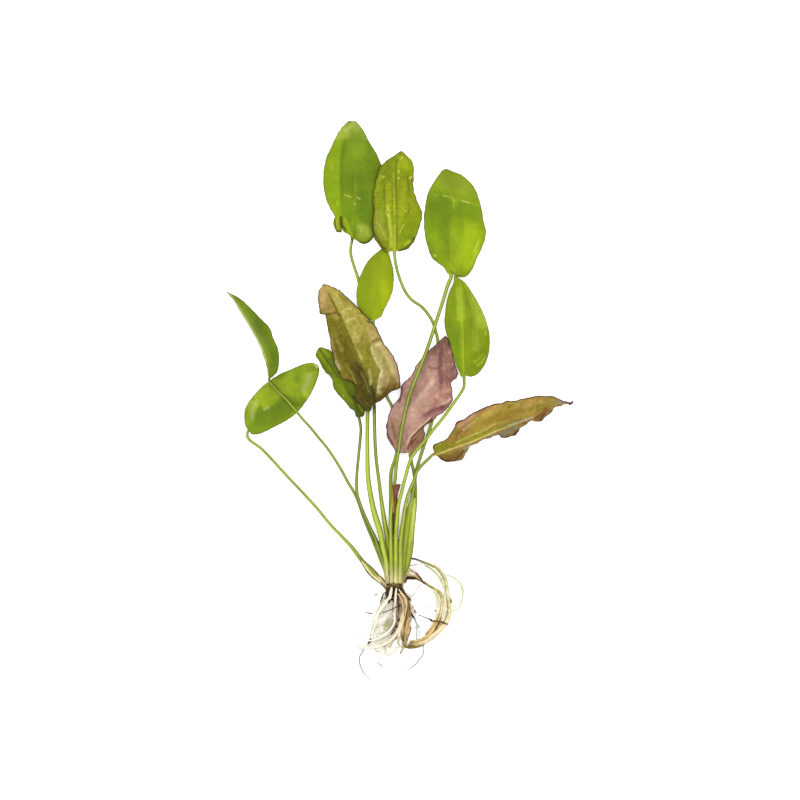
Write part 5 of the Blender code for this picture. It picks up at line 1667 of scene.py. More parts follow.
# %% Looks of the leaf under the broad one
DROOPING_RIGHT_LEAF_LOOK = {
    "stalk": ["#828C19", "#7F8B15", "#788815", "#72830B", "#6F800D"],
    "left": "#607404",
    "right": "#687904",
    "base": ("#667804", 0.12),
    "tip": ("#6D8007", 0.86),
    "rib": "#7B8B12",
    "rib_share": 0.5,
    "pucker": 0.08,
    "ripple": 0.05,
    "spacing": 0.34,
    "frill": 0.12,
    "flare": (1.6, 0.4),
    "crumple": (0.05, 5.0),
    "facets": marks("""
    #859622 0.7 6.1 36.1,60.8 38.3,55.9 39.7,51.5 40.5,43.2 40,30.6
    #75890C 0.5 2.8 34.8,14.6 34.3,38.8 33.6,55.3 33.1,64.1
    """),
    "folds": [
        (points("36.7,59.2 39.7,51.5 40.5,43.2 40,30.6"), 0.7, 0.5),
        (points("33.4,64.1 33.7,55.3 34.5,38.8 35,15.7"), 0.6, 0.35),
    ],
    "strokes": marks("""
    #7D9019 0.9 2.8 32.6,60.8 33.1,53.1 33.2,46.5
    #647904 0.8 2.2 30.1,44.3 31.2,34.4
    #677D04 0.8 2.8 36.1,38.8 37.2,27.8 38.3,21.2
    #869622 0.95 3.6 41.1,56.4 43.8,49.8 45.2,42.1
    #718508 0.85 2.2 44.4,39.9 45.3,30
    #596E04 0.4 0.4 37.2,59.7 40.2,52 41.1,43.2 40.5,30.6
    #7E9013 0.6 0.4 36.5,59.2 39.3,51.5 40,43.2 39.5,32.2
    #8A9C1B 0.7 0.3 33.4,64.7 33.7,55.3 34.4,38.8 34.9,14.6
    #5B7004 0.35 0.3 34.3,64.1 34.5,55.3 35.1,38.8 35.6,15.7
    #919F21 0.5 0.4 30.6,45.4 33.9,43.2
    #8E9C23 0.8 0.6 42.2,19 44.9,21.2 46.6,24.5
    #607104 0.7 2.2 40.5,25.6 38.3,17.9
    #889627 0.6 3.5 41.4,55.3 43.8,49.3 44.9,42.1
    #7F901F 0.6 2 32.8,60.8 33.2,53.1 33.3,45.4
    #93A02E 0.4 0.6 40.5,21.2 43.3,22.9 45.5,25.6
    #A5AF40 0.7 0.4 46.8,38.3 46.9,36.1
    """),
}
counted(DROOPING_RIGHT_LEAF_LOOK)

# %% Finish and piece of the leaf under the broad one
drooping_right_leaf_finish = leaf_material(
    "drooping_right_leaf_finish",
    vein="#7F9017", vein_share=0.12, net_share=0.25, rim="#485504", rough=0.4,
)
sheet = bmesh.new()
leaf_skin(sheet, DROOPING_RIGHT_LEAF, DROOPING_RIGHT_LEAF_LOOK)
strip(
    sheet,
    points("-6.5,-102.5,4.4 -9.6,-91.5,4.2 -11.6,-82.2,4 -12.2,-77.2,3.8"),
    points("1.2,-102.5,4.2 3.2,-91.5,4 5.3,-82.2,3.4 6.1,-75.6,3"),
    0.1, 0.5, ["#889444", "#6D7B22", "#7B822F", "#63690C", "#767D24", "#838B36", "#7F893C"],
    rows=50, ragged=0.4,
    strokes=marks("""
    #A89F68 0.75 5 -6.8,-102 1.5,-102
    #555F04 0.7 0.8 -6.2,-81.1 -5.3,-94.3
    #604312 0.85 0.8 -6.1,-93.7 -5.8,-97.6 -5.1,-100.9
    #6D5120 0.7 0.6 -7.4,-96.5 -6.7,-101.4
    #553D05 0.8 0.7 0.4,-93.2 0.4,-100.9
    """),
)
strip(
    sheet,
    points("-1.5,-102.5,5 -0.4,-91,4.9 0.1,-81.1,4.7 1.3,-71.2,4.6 3.1,-61.3,4.5 5.6,-53,4.2"),
    points("1.3,-102.5,4 4.3,-91.5,3.6 6.3,-81.1,3.2 7.2,-71.2,2.9 8.1,-61.3,2.6 8.6,-53.6,2.4"),
    0.1, 0.5, ["#717B1B", "#8B9436", "#808D23", "#929B3D", "#788629"],
    rows=60, ragged=0.3, seed=4.0,
    strokes=marks("""
    #A89F68 0.75 5 -1.3,-102 1.5,-102
    #A3AC59 0.8 0.6 6.7,-76.7 7.3,-65.7 8.1,-56.9
    #606A04 0.8 0.6 2.4,-95.9 3.4,-84.9 4.5,-73.9 5.9,-61.3
    #472E04 0.9 1 0.2,-94.3 0.3,-102.5
    #606A04 0.7 0.5 0.7,-91 1.4,-79.4 2.8,-69 4.6,-59.1
    """),
)
finished_piece(sheet, "drooping_right_leaf", drooping_right_leaf_finish, ["leaf_drooping_right"])

# %% [markdown]
# ## The pink leaf
# Young leaves of this plant are pink-brown. This one is ruffled along both edges, and part of it is
# folded up into a darker flap along its midrib.

# %% The pink leaf
PINK_LEAF = {
    "stalk": points("""
    -0.3,-100.2,1.7 1,-97.5,2 2.6,-93.7,2.3 4.5,-87.7,2.5 5.9,-80,2.2 6.6,-72.3,1.8 7.5,-64.6,1.4
    8.4,-55.2,1.1 8.3,-45.9,1.1 7.3,-39.1,1.2 6.2,-34.3,1.8
    """),
    "widths": [1.7, 1.9, 1.8, 1.6],
    "rib": points("""
    5.3,-29.9,2.6 7.9,-22,3.2 12.5,-10.1,3.4 17.4,2,3.2 21.3,13,3 22.4,24,2.8 24.7,35.7,2
    """),
    "left": points("""
    1.3,-28.9,2.6 -2.2,-28.1,2.8 -4.8,-24.5,2.2 -7.4,-19.5,1.6 -8.1,-15.4,2 -7.1,-10.7,2.8 -5.5,-5.8,2.6
    -3.8,-2.2,3 -0.8,1.4,2.4 0.3,7.4,1.8 2.3,10.5,1.4 6.4,14,1.9 8.4,18.2,1.4 11.4,22.3,1.7 15.5,27,1.9
    18.5,30,2.6 21.6,32.9,2.6
    """),
    "right": points("""
    8.4,-27.6,2.4 11.4,-23.5,2.6 13.6,-19.5,2.8 13,-14.9,3.4 17.1,-11.3,2.8 21.1,-7.8,2.4 24.7,-5.2,2
    28.8,0.3,1.4 28.9,3.1,1.2 28.1,6.9,1 28.3,10.5,1.2 31.1,12.6,1.4 31.3,16.3,1.6 29.8,21.2,1.8
    28.3,28.9,1.8 26.5,33.9,1.8
    """),
}
counted(PINK_LEAF)

# %% Looks of the pink leaf
PINK_LEAF_LOOK = {
    "stalk": ["#7A8516", "#758112", "#6F7D11", "#6E6317"],
    "left": "#9A776A",
    "right": "#896158",
    "base": ("#866D52", 0.1),
    "tip": ("#6D4D3F", 0.72),
    "rib": "#A18471",
    "rib_share": 0.5,
    "pucker": 0.4,
    "ripple": 0.45,
    "spacing": 0.4,
    "waves": 10,
    "frill": 0.6,
    "crumple": (0.8, 3.8),
    "flare": (1.7, 0.7),
    "mottle_and_crease_shade": (0.2, 3.2),
    "facets": marks("""
    #A68474 0.7 3.9 16.9,10.2 13,5.3 8.1,-1.3 4.2,-9.6
    #937165 0.6 3.3 15.2,17.4 18.5,17.4 22.4,16.3
    #7E5852 0.6 2.8 22.4,8 21.8,14.6 21.8,22.3 22.4,30
    #9D7969 0.6 3.3 18.5,1.4 22.4,3.6 26.8,4.7
    #795350 0.6 2.8 23.5,-3 18.5,-4.6 13.6,-7.9
    """),
    "bites": [(-7.6, -15.9, 0.7, 0.6)],
    "folds": [
        (points("16.9,-9 10.8,-14.8 4.8,-20.6 2.9,-26.1"), 0.8, 0.9),
        (points("22.4,30.6 21.8,21.2 22.1,13.5 22.4,8.6"), 1.6, -0.5),
    ],
    "strokes": marks("""
    #906D60 0.8 2.8 16.3,26.7 17.4,21.2
    #815C52 0.8 2.8 27.3,24.5 28.4,15.7
    #6F5142 0.9 2 24.6,34.4 20.7,30.6 18.5,26.7
    #673F3F 0.7 1.4 22.7,30 22.1,22.3 22.2,14.6 22.5,10.2
    #6F4A44 0.65 0.9 15.6,18.2 18.5,17.7 21.8,17.3
    #7E5E58 0.6 1.7 12.5,16.3 14.1,10.8
    #B1907F 0.9 1.4 17.1,9.7 14.7,6.9 11.4,2.5 8.6,-1.3
    #A68471 0.85 1.4 7.5,-1.9 5.3,-6.3 4.2,-11.8
    #A1796A 0.85 1.3 19.6,2.5 21.8,0.3 25.1,0.3
    #AE8E7B 0.85 0.8 22.9,-1.9 25.7,-0.8 27.3,0.9
    #9D7A69 0.8 1.3 -1.3,2.5 0.9,-1.9 0.4,-6.3
    #A07D71 0.45 0.7 28.4,19.6 26.2,19.9 24,19.8
    #987869 0.8 0.9 26.8,26.7 28.4,23.4
    #836155 0.6 1.7 10.8,-5.7 13,-7.9 11.4,-10.1
    #673E41 0.75 1.5 13.4,-7.9 16.9,-6.1 20.2,-4.6 22.9,-3.9
    #6F4C47 0.6 1.7 25.1,12.4 27.9,12.1 30.4,13.5
    #60363A 0.85 0.8 7.3,17.4 6.4,14.6 4.2,11.9
    #683E41 0.85 0.9 1.3,6.9 0.1,2.5 -0.7,-0.8
    #9C8052 0.8 0.8 9.2,21.2 10.1,18.5
    #8C6D53 0.85 2.8 -3.5,-11.8 -1.8,-18.4 0.4,-23.9
    #6C482F 0.8 0.6 -5.1,-9.6 -4,-15.1 -2.4,-20.6
    #AD917C 0.9 0.6 16.3,-9.6 10.6,-15.1 5.1,-20.2 3.5,-23.9
    #5E3823 0.95 0.7 16.9,-10.5 12.5,-14.3 6.7,-20.1 4.2,-26.4
    #7B583E 0.95 1.8 13,-16.2 9.7,-20.6 6.4,-25
    #543019 0.9 0.6 5.7,-23.9 7,-22.2 8.6,-20.6
    #46241F 0.85 0.5 -7.3,-12.9 -7.6,-16.7 -6.4,-20 -4,-23.9
    """),
}
counted(PINK_LEAF_LOOK)

# %% Finish and piece of the pink leaf
pink_leaf_finish = leaf_material(
    "pink_leaf_finish",
    vein="#6C4338", vein_share=0.1, net_share=0.25, rim="#3D1823", rough=0.5, patch=0.18, mottle_and_crease_shade=0.06,
    rim_width=0.9, rim_share=0.85,
)
leaf_piece("pink_leaf", PINK_LEAF, PINK_LEAF_LOOK, pink_leaf_finish, "leaf_pink")

# %% [markdown]
# ## The gold leaf
# The olive-gold blade is strongly ruffled, so its edge waves up and down along the table. Its midrib is
# bright, and it ends in a long thin grey point.

# %% The gold leaf
GOLD_LEAF = {
    "stalk": points("""
    -0.2,-100.3,6 0.1,-87.7,6 0,-80,6 0.6,-72.3,6 1.8,-64.6,6 2.9,-56.9,6 5.1,-49.2,5.9 7.3,-44.2,5.7
    8.9,-39.4,5.4 11.3,-36,5 14.4,-32.9,4.3
    """),
    "widths": [1.7, 1.9, 1.8, 1.7],
    "rib": points("""
    17.6,-29.9,3.5 28.2,-26.1,4 36.9,-23.6,4.6 45.5,-19.8,4.6 54.3,-16.2,4.4 60,-14,4 68.6,-10.5,3.4
    74.5,-8.2,2.6 86,-2.4,1.4 95.6,-1.3,0.3
    """),
    "left": points("""
    18.1,-24.4,2.8 21.3,-23,2.4 25.3,-21,2 28.8,-16.7,1.4 30.5,-12.3,0.8 35,-10,1.2 39.8,-7,1.8
    45.5,-4.1,1.4 51.4,-1.7,0.6 55.9,-1.3,0.2 58.1,-0.2,0.5 62.9,0,1 68.6,1.1,0.8 74.5,2.2,0.2 80.3,2.5,0
    85.5,1.8,0.4 90,-0.2,0.6
    """),
    "right": points("""
    20.4,-30.8,3 22.9,-32.7,2.2 27.6,-33.4,1 32.8,-32.7,0.4 35,-31.3,0.6 36,-28.4,1.4 38.6,-24.7,1.8
    43.3,-22.2,1.6 49,-19.8,1.2 53.7,-18.6,1 55.4,-19.8,0.6 58.1,-20.3,0.2 62.3,-19.2,0 65.3,-16.2,0.4
    68.6,-12.9,1 72.1,-11.2,0.8 77.4,-11.2,0.2 80.3,-8.8,0 83.7,-5.3,0.4 84.9,-3.3,0.6 90.6,-1.5,0.5
    """),
}
counted(GOLD_LEAF)

# %% Looks of the gold leaf
GOLD_LEAF_LOOK = {
    "stalk": ["#828C1A", "#798413", "#6C780D", "#646E08"],
    "left": "#7F6D27",
    "right": "#7A612C",
    "base": ("#7C7627", 0.2),
    "tip": ("#8B7238", 0.75),
    "rib": "#958346",
    "rib_share": 0.8,
    "pucker": 0.3,
    "ripple": 0.4,
    "spacing": 0.36,
    "waves": 12,
    "frill": 0.4,
    "crumple": (0.7, 3.6),
    "flare": (1.7, 0.7),
    "mottle_and_crease_shade": (0.2, 2.8),
    "facets": marks("""
    #746E18 0.6 2.8 17.4,-30.7 27.6,-26.7 38.8,-22.8 47.7,-18.9 55.4,-15.5
    #8B6240 0.6 2.8 35,-14.5 37.2,-10.7 40.5,-5.7
    #977C3C 0.65 2.8 46,-10.7 47.7,-6.3 49.3,-2.4
    #715420 0.6 2.5 54.8,-7.9 57,-4.1 58.7,-0.8
    #967C3C 0.6 2.8 63.6,-6.3 65.8,-2.4 68,0.9
    #745F22 0.55 2.5 72.4,-5.7 74.6,-1.9 76.8,1.1
    #665F29 0.6 2.2 54.8,-15.3 60.3,-13.2 65.8,-11.2
    """),
    "folds": [
        (points("30.9,-22.8 38.8,-19.4 47.7,-15.5 52.1,-12.7"), 0.5, 0.35),
        ([(32.6, -17.7), (43.3, -9.3)], 0.5, 0.3),
    ],
    "strokes": marks("""
    #66670B 0.85 2.4 18.5,-27.2 25.1,-25 30.6,-22.8
    #716D15 0.8 2.2 28.4,-23.9 37.2,-20.6 46,-17.3
    #7B5D27 0.75 2.8 27.3,-21.7 31.7,-18.4 36.1,-16.2
    #815432 0.75 1.9 31.7,-12.3 38.3,-7.9 46,-4.6 54.8,-1.9
    #725F1B 0.7 2.8 46,-11.8 53.7,-9 61.4,-6.3
    #9A755B 0.85 1.4 32.3,-14 36.1,-11.2 40.5,-7.9
    #8B7258 0.7 1.1 34.5,-16.2 38.3,-12.9
    #927A3A 0.8 2.2 47.1,-7.9 50.4,-5.2 54.8,-3.5
    #947838 0.8 2.2 69.1,-1.9 76.8,-0.2
    #745F1B 0.8 1.7 58.1,-7.4 61.4,-6.3 65.8,-5.2
    #887127 0.8 1.7 65.8,-8.5 73.5,-6.3
    #714B1B 0.9 1.4 74.6,-9.6 78.5,-7.4 80.1,-4.6
    #7A5618 0.8 0.9 54.8,-10.7 61.4,-9
    #746E52 0.9 1.4 55.9,-18.2 59.8,-16.7 63.6,-14.5
    #9A937E 0.8 0.6 59.2,-14 63.6,-12.3 69.1,-10.5 72.4,-9.4
    #66624A 0.8 1.1 54.8,-18.9 58.7,-19.5
    #2A2C1B 0.9 0.6 54.3,-19.5 57.6,-20.8 61.4,-19.7 64.7,-16.2
    #664B1B 0.85 2 22.4,-30.8 27.3,-31.2 31.7,-29.2
    #492804 0.85 0.7 20.7,-31 25.1,-32.9 29.5,-33 32.8,-30.5 35,-27
    #583412 0.7 0.7 65.8,-11.6 70.2,-12.5 75.7,-11.8 79.6,-7.4
    #817F68 0.8 0.8 35,-26.6 38.3,-24.4
    #B0A45B 0.95 0.4 17.4,-30.7 27.6,-26.7 38.8,-22.8 47.7,-18.9 55.6,-15.5
    #9D904C 0.8 0.4 55.6,-15.5 61.2,-13.3 69.1,-11
    #9D904E 0.85 0.4 30.9,-22.8 38.8,-19.4 47.7,-15.5 52.1,-12.7
    #9A8850 0.75 0.4 32.6,-17.7 37.2,-14 43.3,-9.3
    #644312 0.8 0.7 33.9,-16.7 31.7,-17.8 30.6,-20.6
    #713420 0.95 0.7 30.1,-12.9 33.4,-10.7 36.7,-8.5 40.5,-5.7 44.9,-4.1
    #84482C 0.8 0.6 50.4,-1.7 54.8,-1 59.2,-0.2
    #624304 0.85 0.5 59.2,-4.1 60.9,-2.4
    #7F6E5D 0.85 0.8 85.6,-1.1 88.4,-0.4
    #80828D 0.95 0.7 88.9,-0.8 92.2,-0.8
    #494D5B 0.95 0.7 92.8,-0.8 96.1,-1.3
    """),
    "spotted": [(points("27.3,-21.7 54.8,-10.7 79.6,-1.9"), 7.7)],
    "foot": ("#A99D6E", 14.0),
}
counted(GOLD_LEAF_LOOK)

# %% Finish and piece of the gold leaf
gold_leaf_finish = leaf_material(
    "gold_leaf_finish",
    vein="#968654", vein_share=0.14, net_share=0.3, rim="#360604", rough=0.48, spot="#543407",
    spot_share=0.2, patch=0.16, mottle_and_crease_shade=0.07, rim_width=1.05, rim_share=0.95,
)
leaf_piece("gold_leaf", GOLD_LEAF, GOLD_LEAF_LOOK, gold_leaf_finish, "leaf_gold")

# %% [markdown]
# ## The youngest leaf
# The youngest leaf is still rolled up. It is a short red-brown hook on top of the bundle.

# %% The youngest leaf
YOUNG_ROLLED_LEAF = {
    "stalk": points("""
    -2.4,-100.3,3.7 -2.9,-87.7,3.8 -3.1,-76.7,4 -3.3,-64.6,4.9 -3,-60.5,6.3 -3,-56.9,7.6
    """),
    "widths": [1.2, 1.0, 1.0, 1.4],
    "rib": points("-2.6,-54.7,8 -2.5,-50.8,8.5 -2,-48.1,8.8 -1,-46.6,8.8 0.5,-45.8,8.8"),
    "left": points("-3.5,-51.6,8.3 -3.9,-48.9,8.6 -3.6,-46.7,8.8 -1.6,-45.7,8.8"),
    "right": points("-1.9,-52.5,8.3 -1,-50.3,8.6 -0.2,-48.1,8.8 0.1,-46.8,8.8"),
}
counted(YOUNG_ROLLED_LEAF)

# %% Looks of the youngest leaf
YOUNG_ROLLED_LEAF_LOOK = {
    "stalk": ["#8F8629", "#797516", "#6E5A11", "#61400E"],
    "crest": 0.0,
    "rows": 50,
    "flatten": 0.25,
    "left": "#68402D",
    "right": "#614225",
    "base": ("#674724", 0.2),
    "tip": ("#5E331D", 0.6),
    "rib": "#795039",
    "rib_share": 0.4,
    "pucker": 0.05,
    "ripple": 0.03,
    "spacing": 0.5,
    "frill": 0.03,
}
counted(YOUNG_ROLLED_LEAF_LOOK)

# %% Finish and piece of the youngest leaf
young_rolled_leaf_finish = leaf_material(
    "young_rolled_leaf_finish",
    vein="#522F1B", vein_share=0.3, net_share=0.3, rim="#422310", rough=0.44,
)
sheet = bmesh.new()
leaf_skin(sheet, YOUNG_ROLLED_LEAF, YOUNG_ROLLED_LEAF_LOOK)
strip(
    sheet,
    points("-4.6,-47,8.4 -4.2,-54.7,8 -4,-61.3,7.4 -3.9,-65.7,6.9 -3.7,-70.1,6.3"),
    points("-0.9,-47,8.4 -1.5,-54.7,8 -2.4,-61.3,7.4 -2.8,-65.7,6.9 -3.1,-70.1,6.3"),
    0.16, 0.4, ["#6D5129", "#603414", "#6D4328", "#633A17", "#513404"],
    rows=50, ragged=0.1,
    strokes=marks("""
    #432E04 0.9 1.2 -3.2,-62.4 -3.4,-70.1
    #947D4A 0.8 0.4 -4.5,-48.1 -4.1,-54.7 -3.9,-61.3
    """),
)
finished_piece(sheet, "young_rolled_leaf", young_rolled_leaf_finish, ["leaf_young_rolled"])

# %% [markdown]
# ## The dry strip
# A dead leaf hangs from the crown as a brown, torn strip with darker fibres along it.

# %% The dry strip
sheet = bmesh.new()
strip(
    sheet,
    points("""
    1.6,-106.4,4.7 2.3,-109.7,4.5 2.4,-113,4.2 1.4,-117.4,3.8 0.6,-121.8,3.3 0.3,-126.2,2.8 0.2,-130,2.2
    0.9,-132.8,1.6
    """),
    points("""
    2.6,-105.8,4.7 4.6,-109.7,4.5 5.4,-113,4.2 5.7,-117.4,3.8 5.9,-121.8,3.3 5.8,-126.2,2.6 4.6,-130,2
    2.7,-133.3,1.4
    """),
    0.1, 0.3, ["#695325", "#AD9662", "#947946", "#745A2C", "#988159", "#8B6B4E", "#74583B"],
    rows=60, ragged=0.5,
    strokes=marks("""
    #4E3D13 0.85 0.8 2.9,-111.3 3.4,-116.3 2.8,-122.9
    #585022 0.8 1.2 2.6,-108 3.9,-111.3 4.5,-114.6
    #5C471C 0.7 0.5 4.7,-113 5.1,-119.6 4.6,-126.2
    #C0AB79 0.85 0.5 2.1,-110.2 2.1,-115.2 1.4,-121.8 0.9,-128.4
    #B79E6D 0.8 0.5 3.9,-120.7 3.1,-126.2 2.4,-131.7
    #BBA17C 0.7 0.5 5.2,-119.6 5,-125.1 3.8,-130
    #74582D 0.7 0.4 2.6,-121.8 1.9,-127.3 1.8,-131.7
    """),
)
dry_threads = strands("""
    2.1,-105.5,4.9 3.3,-108.6,4.6 3.5,-111.9,4.4 2.8,-116.8,4 2.1,-121.8,3.6
    / 0.9 0.9 0.8 0.5 / #BFA876 #C6B180 #BBA372;
    5.1,-109.7,3.9 5.7,-114.1,3.6 5.6,-119.6,3.1 5.2,-125.1,2.6 / 0.5 0.6 0.4 / #A98D60 #94744F;
    4.6,-128.4,2.4 3.8,-131.7,2 2.3,-135,1.4 0.7,-138.8,0.7 / 0.5 0.8 0.6 0.35 / #947B56 #8B7552 #74664E;
    3.5,-131.7,1.6 1.9,-135,1.2 0.4,-137.7,0.8 -0.4,-140.1,0.5
    / 0.4 0.6 0.5 0.3 / #817454 #8D8367 #989179;
    2.3,-128.4,2.6 2.8,-131.7,2.2 1.8,-135,1.5 1,-137.2,1 / 0.4 0.6 0.5 0.3 / #B79E6D #C2B184 #A38D62;
    0.6,-127.3,2.8 1.3,-131.1,2.2 2.3,-133.9,1.7 / 0.3 0.6 0.4 / #746636 #5C4E1E
""")
for (route, diameters, colours), seed in zip(dry_threads, (2.0, 6.0, 9.0, 19.0, 12.0, 15.0)):
    strand(sheet, route, diameters, colours, seed, side_shade=0.35)
finished_piece(sheet, "dry_strip", fibre_root, ["dry_leaf_strip"])

# %% [markdown]
# ## The crown
# The crown is the short rootstock. It has an olive-brown collar where the stalks leave it and dark broken
# root ends below. Its skin is a barrel that is pushed in and out by noise, and short dark strands stand
# round its lower end.

# %% The crown
CROWN_ROWS, CROWN_RING = 48, 72
CROWN_MIDDLE, CROWN_TOP, CROWN_LENGTH = -3.5, -99.4, 6.9

down = np.linspace(0, 1, CROWN_ROWS)
line_x, line_y = np.full(CROWN_ROWS, CROWN_MIDDLE), CROWN_TOP - CROWN_LENGTH * down
line = np.stack([line_x, line_y, 3.9 - 0.2 * down], axis=1)
half_width = between([4.0, 4.6, 4.85, 4.5, 3.9, 3.3, 2.4, 1.2], down)
half_height = between([3.2, 3.7, 3.85, 3.8, 3.4, 2.9, 2.2, 1.2], down)
angles = 2 * math.pi * np.arange(CROWN_RING) / CROWN_RING
rings = np.zeros((CROWN_ROWS, CROWN_RING, 3))
tints = np.zeros((CROWN_ROWS, CROWN_RING, 3))
dark, collar, edge = (np.array(colour(code)) for code in ("#312009", "#6C5A2C", "#503A17"))
for i in range(CROWN_ROWS):
    for k in range(CROWN_RING):
        out = Vector((math.cos(angles[k]), down[i] * 3, math.sin(angles[k])))
        fine_place = Vector((out.x * 9, down[i] * 2, out.z * 9))
        lump = 0.45 * noise.noise(out * 2.2) + 0.22 * noise.noise(fine_place)
        lip = 0.25 * math.exp(-(((down[i] - 0.3) / 0.12) ** 2))
        grow = 1 + (lump + lip) / 4
        rings[i, k] = line[i] + np.array((out.x * half_width[i], 0, out.z * half_height[i])) * grow
        drawn_down = 2.3 * out.x ** 2 * (1 - 0.6 * down[i])
        rings[i, k, 1] += 0.3 * noise.noise(Vector((out.x * 3, 4, out.z * 3))) - drawn_down
        band = math.exp(-(((down[i] - 0.2) / 0.13) ** 2))
        tints[i, k] = dark + (collar - dark) * band + (edge - dark) * 0.5 * (1 - band) * max(0, lump)
        tints[i, k] *= 1 - 0.6 * math.exp(-((down[i] / 0.05) ** 2))
rings[..., 2] = np.maximum(rings[..., 2], 0.0)
sheet = bmesh.new()
closed_skin(sheet, rings, {"walked": np.repeat(down[:, None] * 6, CROWN_RING, axis=1)}, tints)
print("rings of the crown:", len(rings))

# %% Broken root ends round it
BROKEN_ENDS = 70
END_TONES = ["#483116", "#2B1A07", "#36240A", "#543C20"]
for i in range(BROKEN_ENDS):
    across = -1.0 + 2.0 * ((i * 0.618) % 1.0)
    reach = 2.6 + 2.4 * abs(math.sin(i * 1.7))
    high = 1.4 + 3.2 * abs(math.sin(i * 2.4))
    start = (-4.2 + across * 3.2, -103.6 - 0.9 * math.cos(across), high)
    end_x = -4.6 + across * 3.9 + 0.3 * math.sin(i * 5.1)
    end = (end_x, start[1] - reach - 2.0, max(0.6, high - 0.35 * reach))
    x, y, z = ((first + last) / 2 for first, last in zip(start, end))
    middle = (x + 0.4 * math.sin(i * 3.3), y, z)
    strand(sheet, [start, middle, end], [1.1, 0.9, 0.4], [END_TONES[i % 4], "#2B1A07"], i * 1.3)
crown_finish = root_material("crown_finish", "#090604", 0.5, rough=0.6, patch=0.35)
finished_piece(sheet, "rootstock", crown_finish, ["crown"])

# %% [markdown]
# ## The white roots
# Young white roots fan out to the left below the crown and tangle there with finer ones. Each main root
# lies on its solid, and the finer strands branch from it. A few dark bits of dirt cling to them.

# %% The white roots
root_piece("white_left_root", white_root, "root_white_left", 0.05, strands("""
    -5.4,-107,5.3 -6,-108.2,4.8 -7.5,-110.3,3.8 -9.7,-113.6,2.6 -11.8,-116.9,1.8 -13.2,-121.3,1.3
    -14.8,-126.2,0.9 -16.2,-131.7,0.6
    / 1.7 1.6 1.4 1 / #D0C7AE #D4CFBD #DBD5C1 #D9D6C6;
    -4.7,-102.3,7.9 -4.9,-103.8,7.8 -5.2,-105.6,7 -5.6,-107.7,5.7 -6.4,-109.3,4.8
    / 1 1.5 1.7 1.7 1.4 / #C9BFA2 #D2C7AE #D4CDB6 #D4CFBD;
    -8.7,-111.3,2.6 -12.3,-116.3,1.6 -14.7,-121.8,1 -16.4,-127.8,0.6 -16.9,-132.2,0.5
    / 0.9 0.8 0.5 / #D4CFBD #D9D6C6;
    -10.9,-114.6,1.6 -13.4,-120.1,1.1 -13.9,-125.6,0.8 -12.3,-130.6,0.6 -9,-134.4,0.5
    / 0.6 0.6 0.4 / #D0CDB8 #D4D2C2;
    -13.9,-122.9,0.9 -14.6,-126,1.1 -15.2,-127.7,1 / 0.3 1 0.3 / #3F3B30 #231F1A #3F3B30;
    -15.8,-128.4,0.8 -16.3,-129.5,0.8 / 0.5 0.6 0.3 / #5B574C #4D493E;
    -15.9,-130.2,0.8 -16.6,-132,0.9 -17.4,-133.3,0.8 -18,-134.8,0.6
    / 0.5 1.3 0.8 0.4 / #231F1A #181713 #312C22
"""))

# %% The white outer root
root_piece("white_outer_root", white_root, "root_white_outer", 0.05, strands("""
    -7.1,-106.6,2.5 -9.3,-108.9,1.8 -12,-113.6,1.1 -14,-118,0.8 -15.1,-122.9,0.6 -16.4,-126.8,0.5
    / 1 1 0.8 0.6 / #ADA483 #CDC8B3 #D4D2C2 #D6D5C8;
    -8.6,-105.1,3 -9.7,-107.3,2.6 -10.6,-109.7,2 -11.4,-111.9,1.6
    / 0.5 0.9 0.9 0.4 / #68542E #4D391A #5B4927 #847A58;
    -12.1,-106.5,0.4 -13.6,-106.9,0.4 -14.8,-107.1,0.4 / 0.3 0.8 0.3 / #76756C #68675D
"""))

# %% The white middle root
root_piece("white_middle_root", white_root, "root_white_middle", 0.05, strands("""
    -2.5,-106.9,5.2 -2.6,-108.8,4.6 -2.8,-113,3.6 -3,-117.4,2.8 -3.5,-121.8,2.2 -6,-126.8,1.7
    -10.1,-129.9,1.3 -14.3,-131.1,1
    / 1.4 1.4 1.3 1 / #D2C3AF #D0C7B3 #CEC7AF #D4CFBD;
    -2.1,-102.7,8 -2.3,-104.2,7.9 -2.5,-106.7,6.6 -2.7,-109.1,5.4 -3,-111.9,4.4
    / 0.7 1.1 1.2 1.2 0.9 / #D2C3B3 #D9CFBF #D9CFBF #CEBEAA;
    -3.9,-116.1,3.6 -3,-118.5,3.4 -3.1,-121.8,2.8 -5.4,-125.8,2.4 -9,-128.9,1.9 -13.4,-131.1,1.4
    -18.5,-132.4,0.8
    / 0.8 1.2 1.4 1.3 1.2 0.8 / #D4CDBB #D9D3C2 #DCD9C8;
    -5.1,-119.2,3 -7.5,-121.6,2.6 -8.7,-124.2,2.2 -8.3,-126,2 -6.3,-125.3,2.1 -4.7,-122.3,2.5
    -4.7,-119.8,2.8
    / 0.5 0.8 0.7 0.8 0.5 / #918B59 #9F9B70 #8C8658;
    -6.5,-121.4,2.3 -7.4,-124,2.1 / 0.4 0.7 0.4 / #ABA783 #9F9B70;
    -6.2,-126.7,1.6 -10.1,-130,1.2 -14.5,-132.2,0.9 -18.9,-135,0.6 -22.2,-135,0.5
    / 0.7 0.7 0.5 / #D0CAB5 #D6D3C4;
    -14.1,-123,1.5 -13.6,-124.3,1.5 -12.3,-124.7,1.5 -11.7,-124,1.5 / 0.3 0.5 0.3 / #ADABAF #A3A0A7
"""))

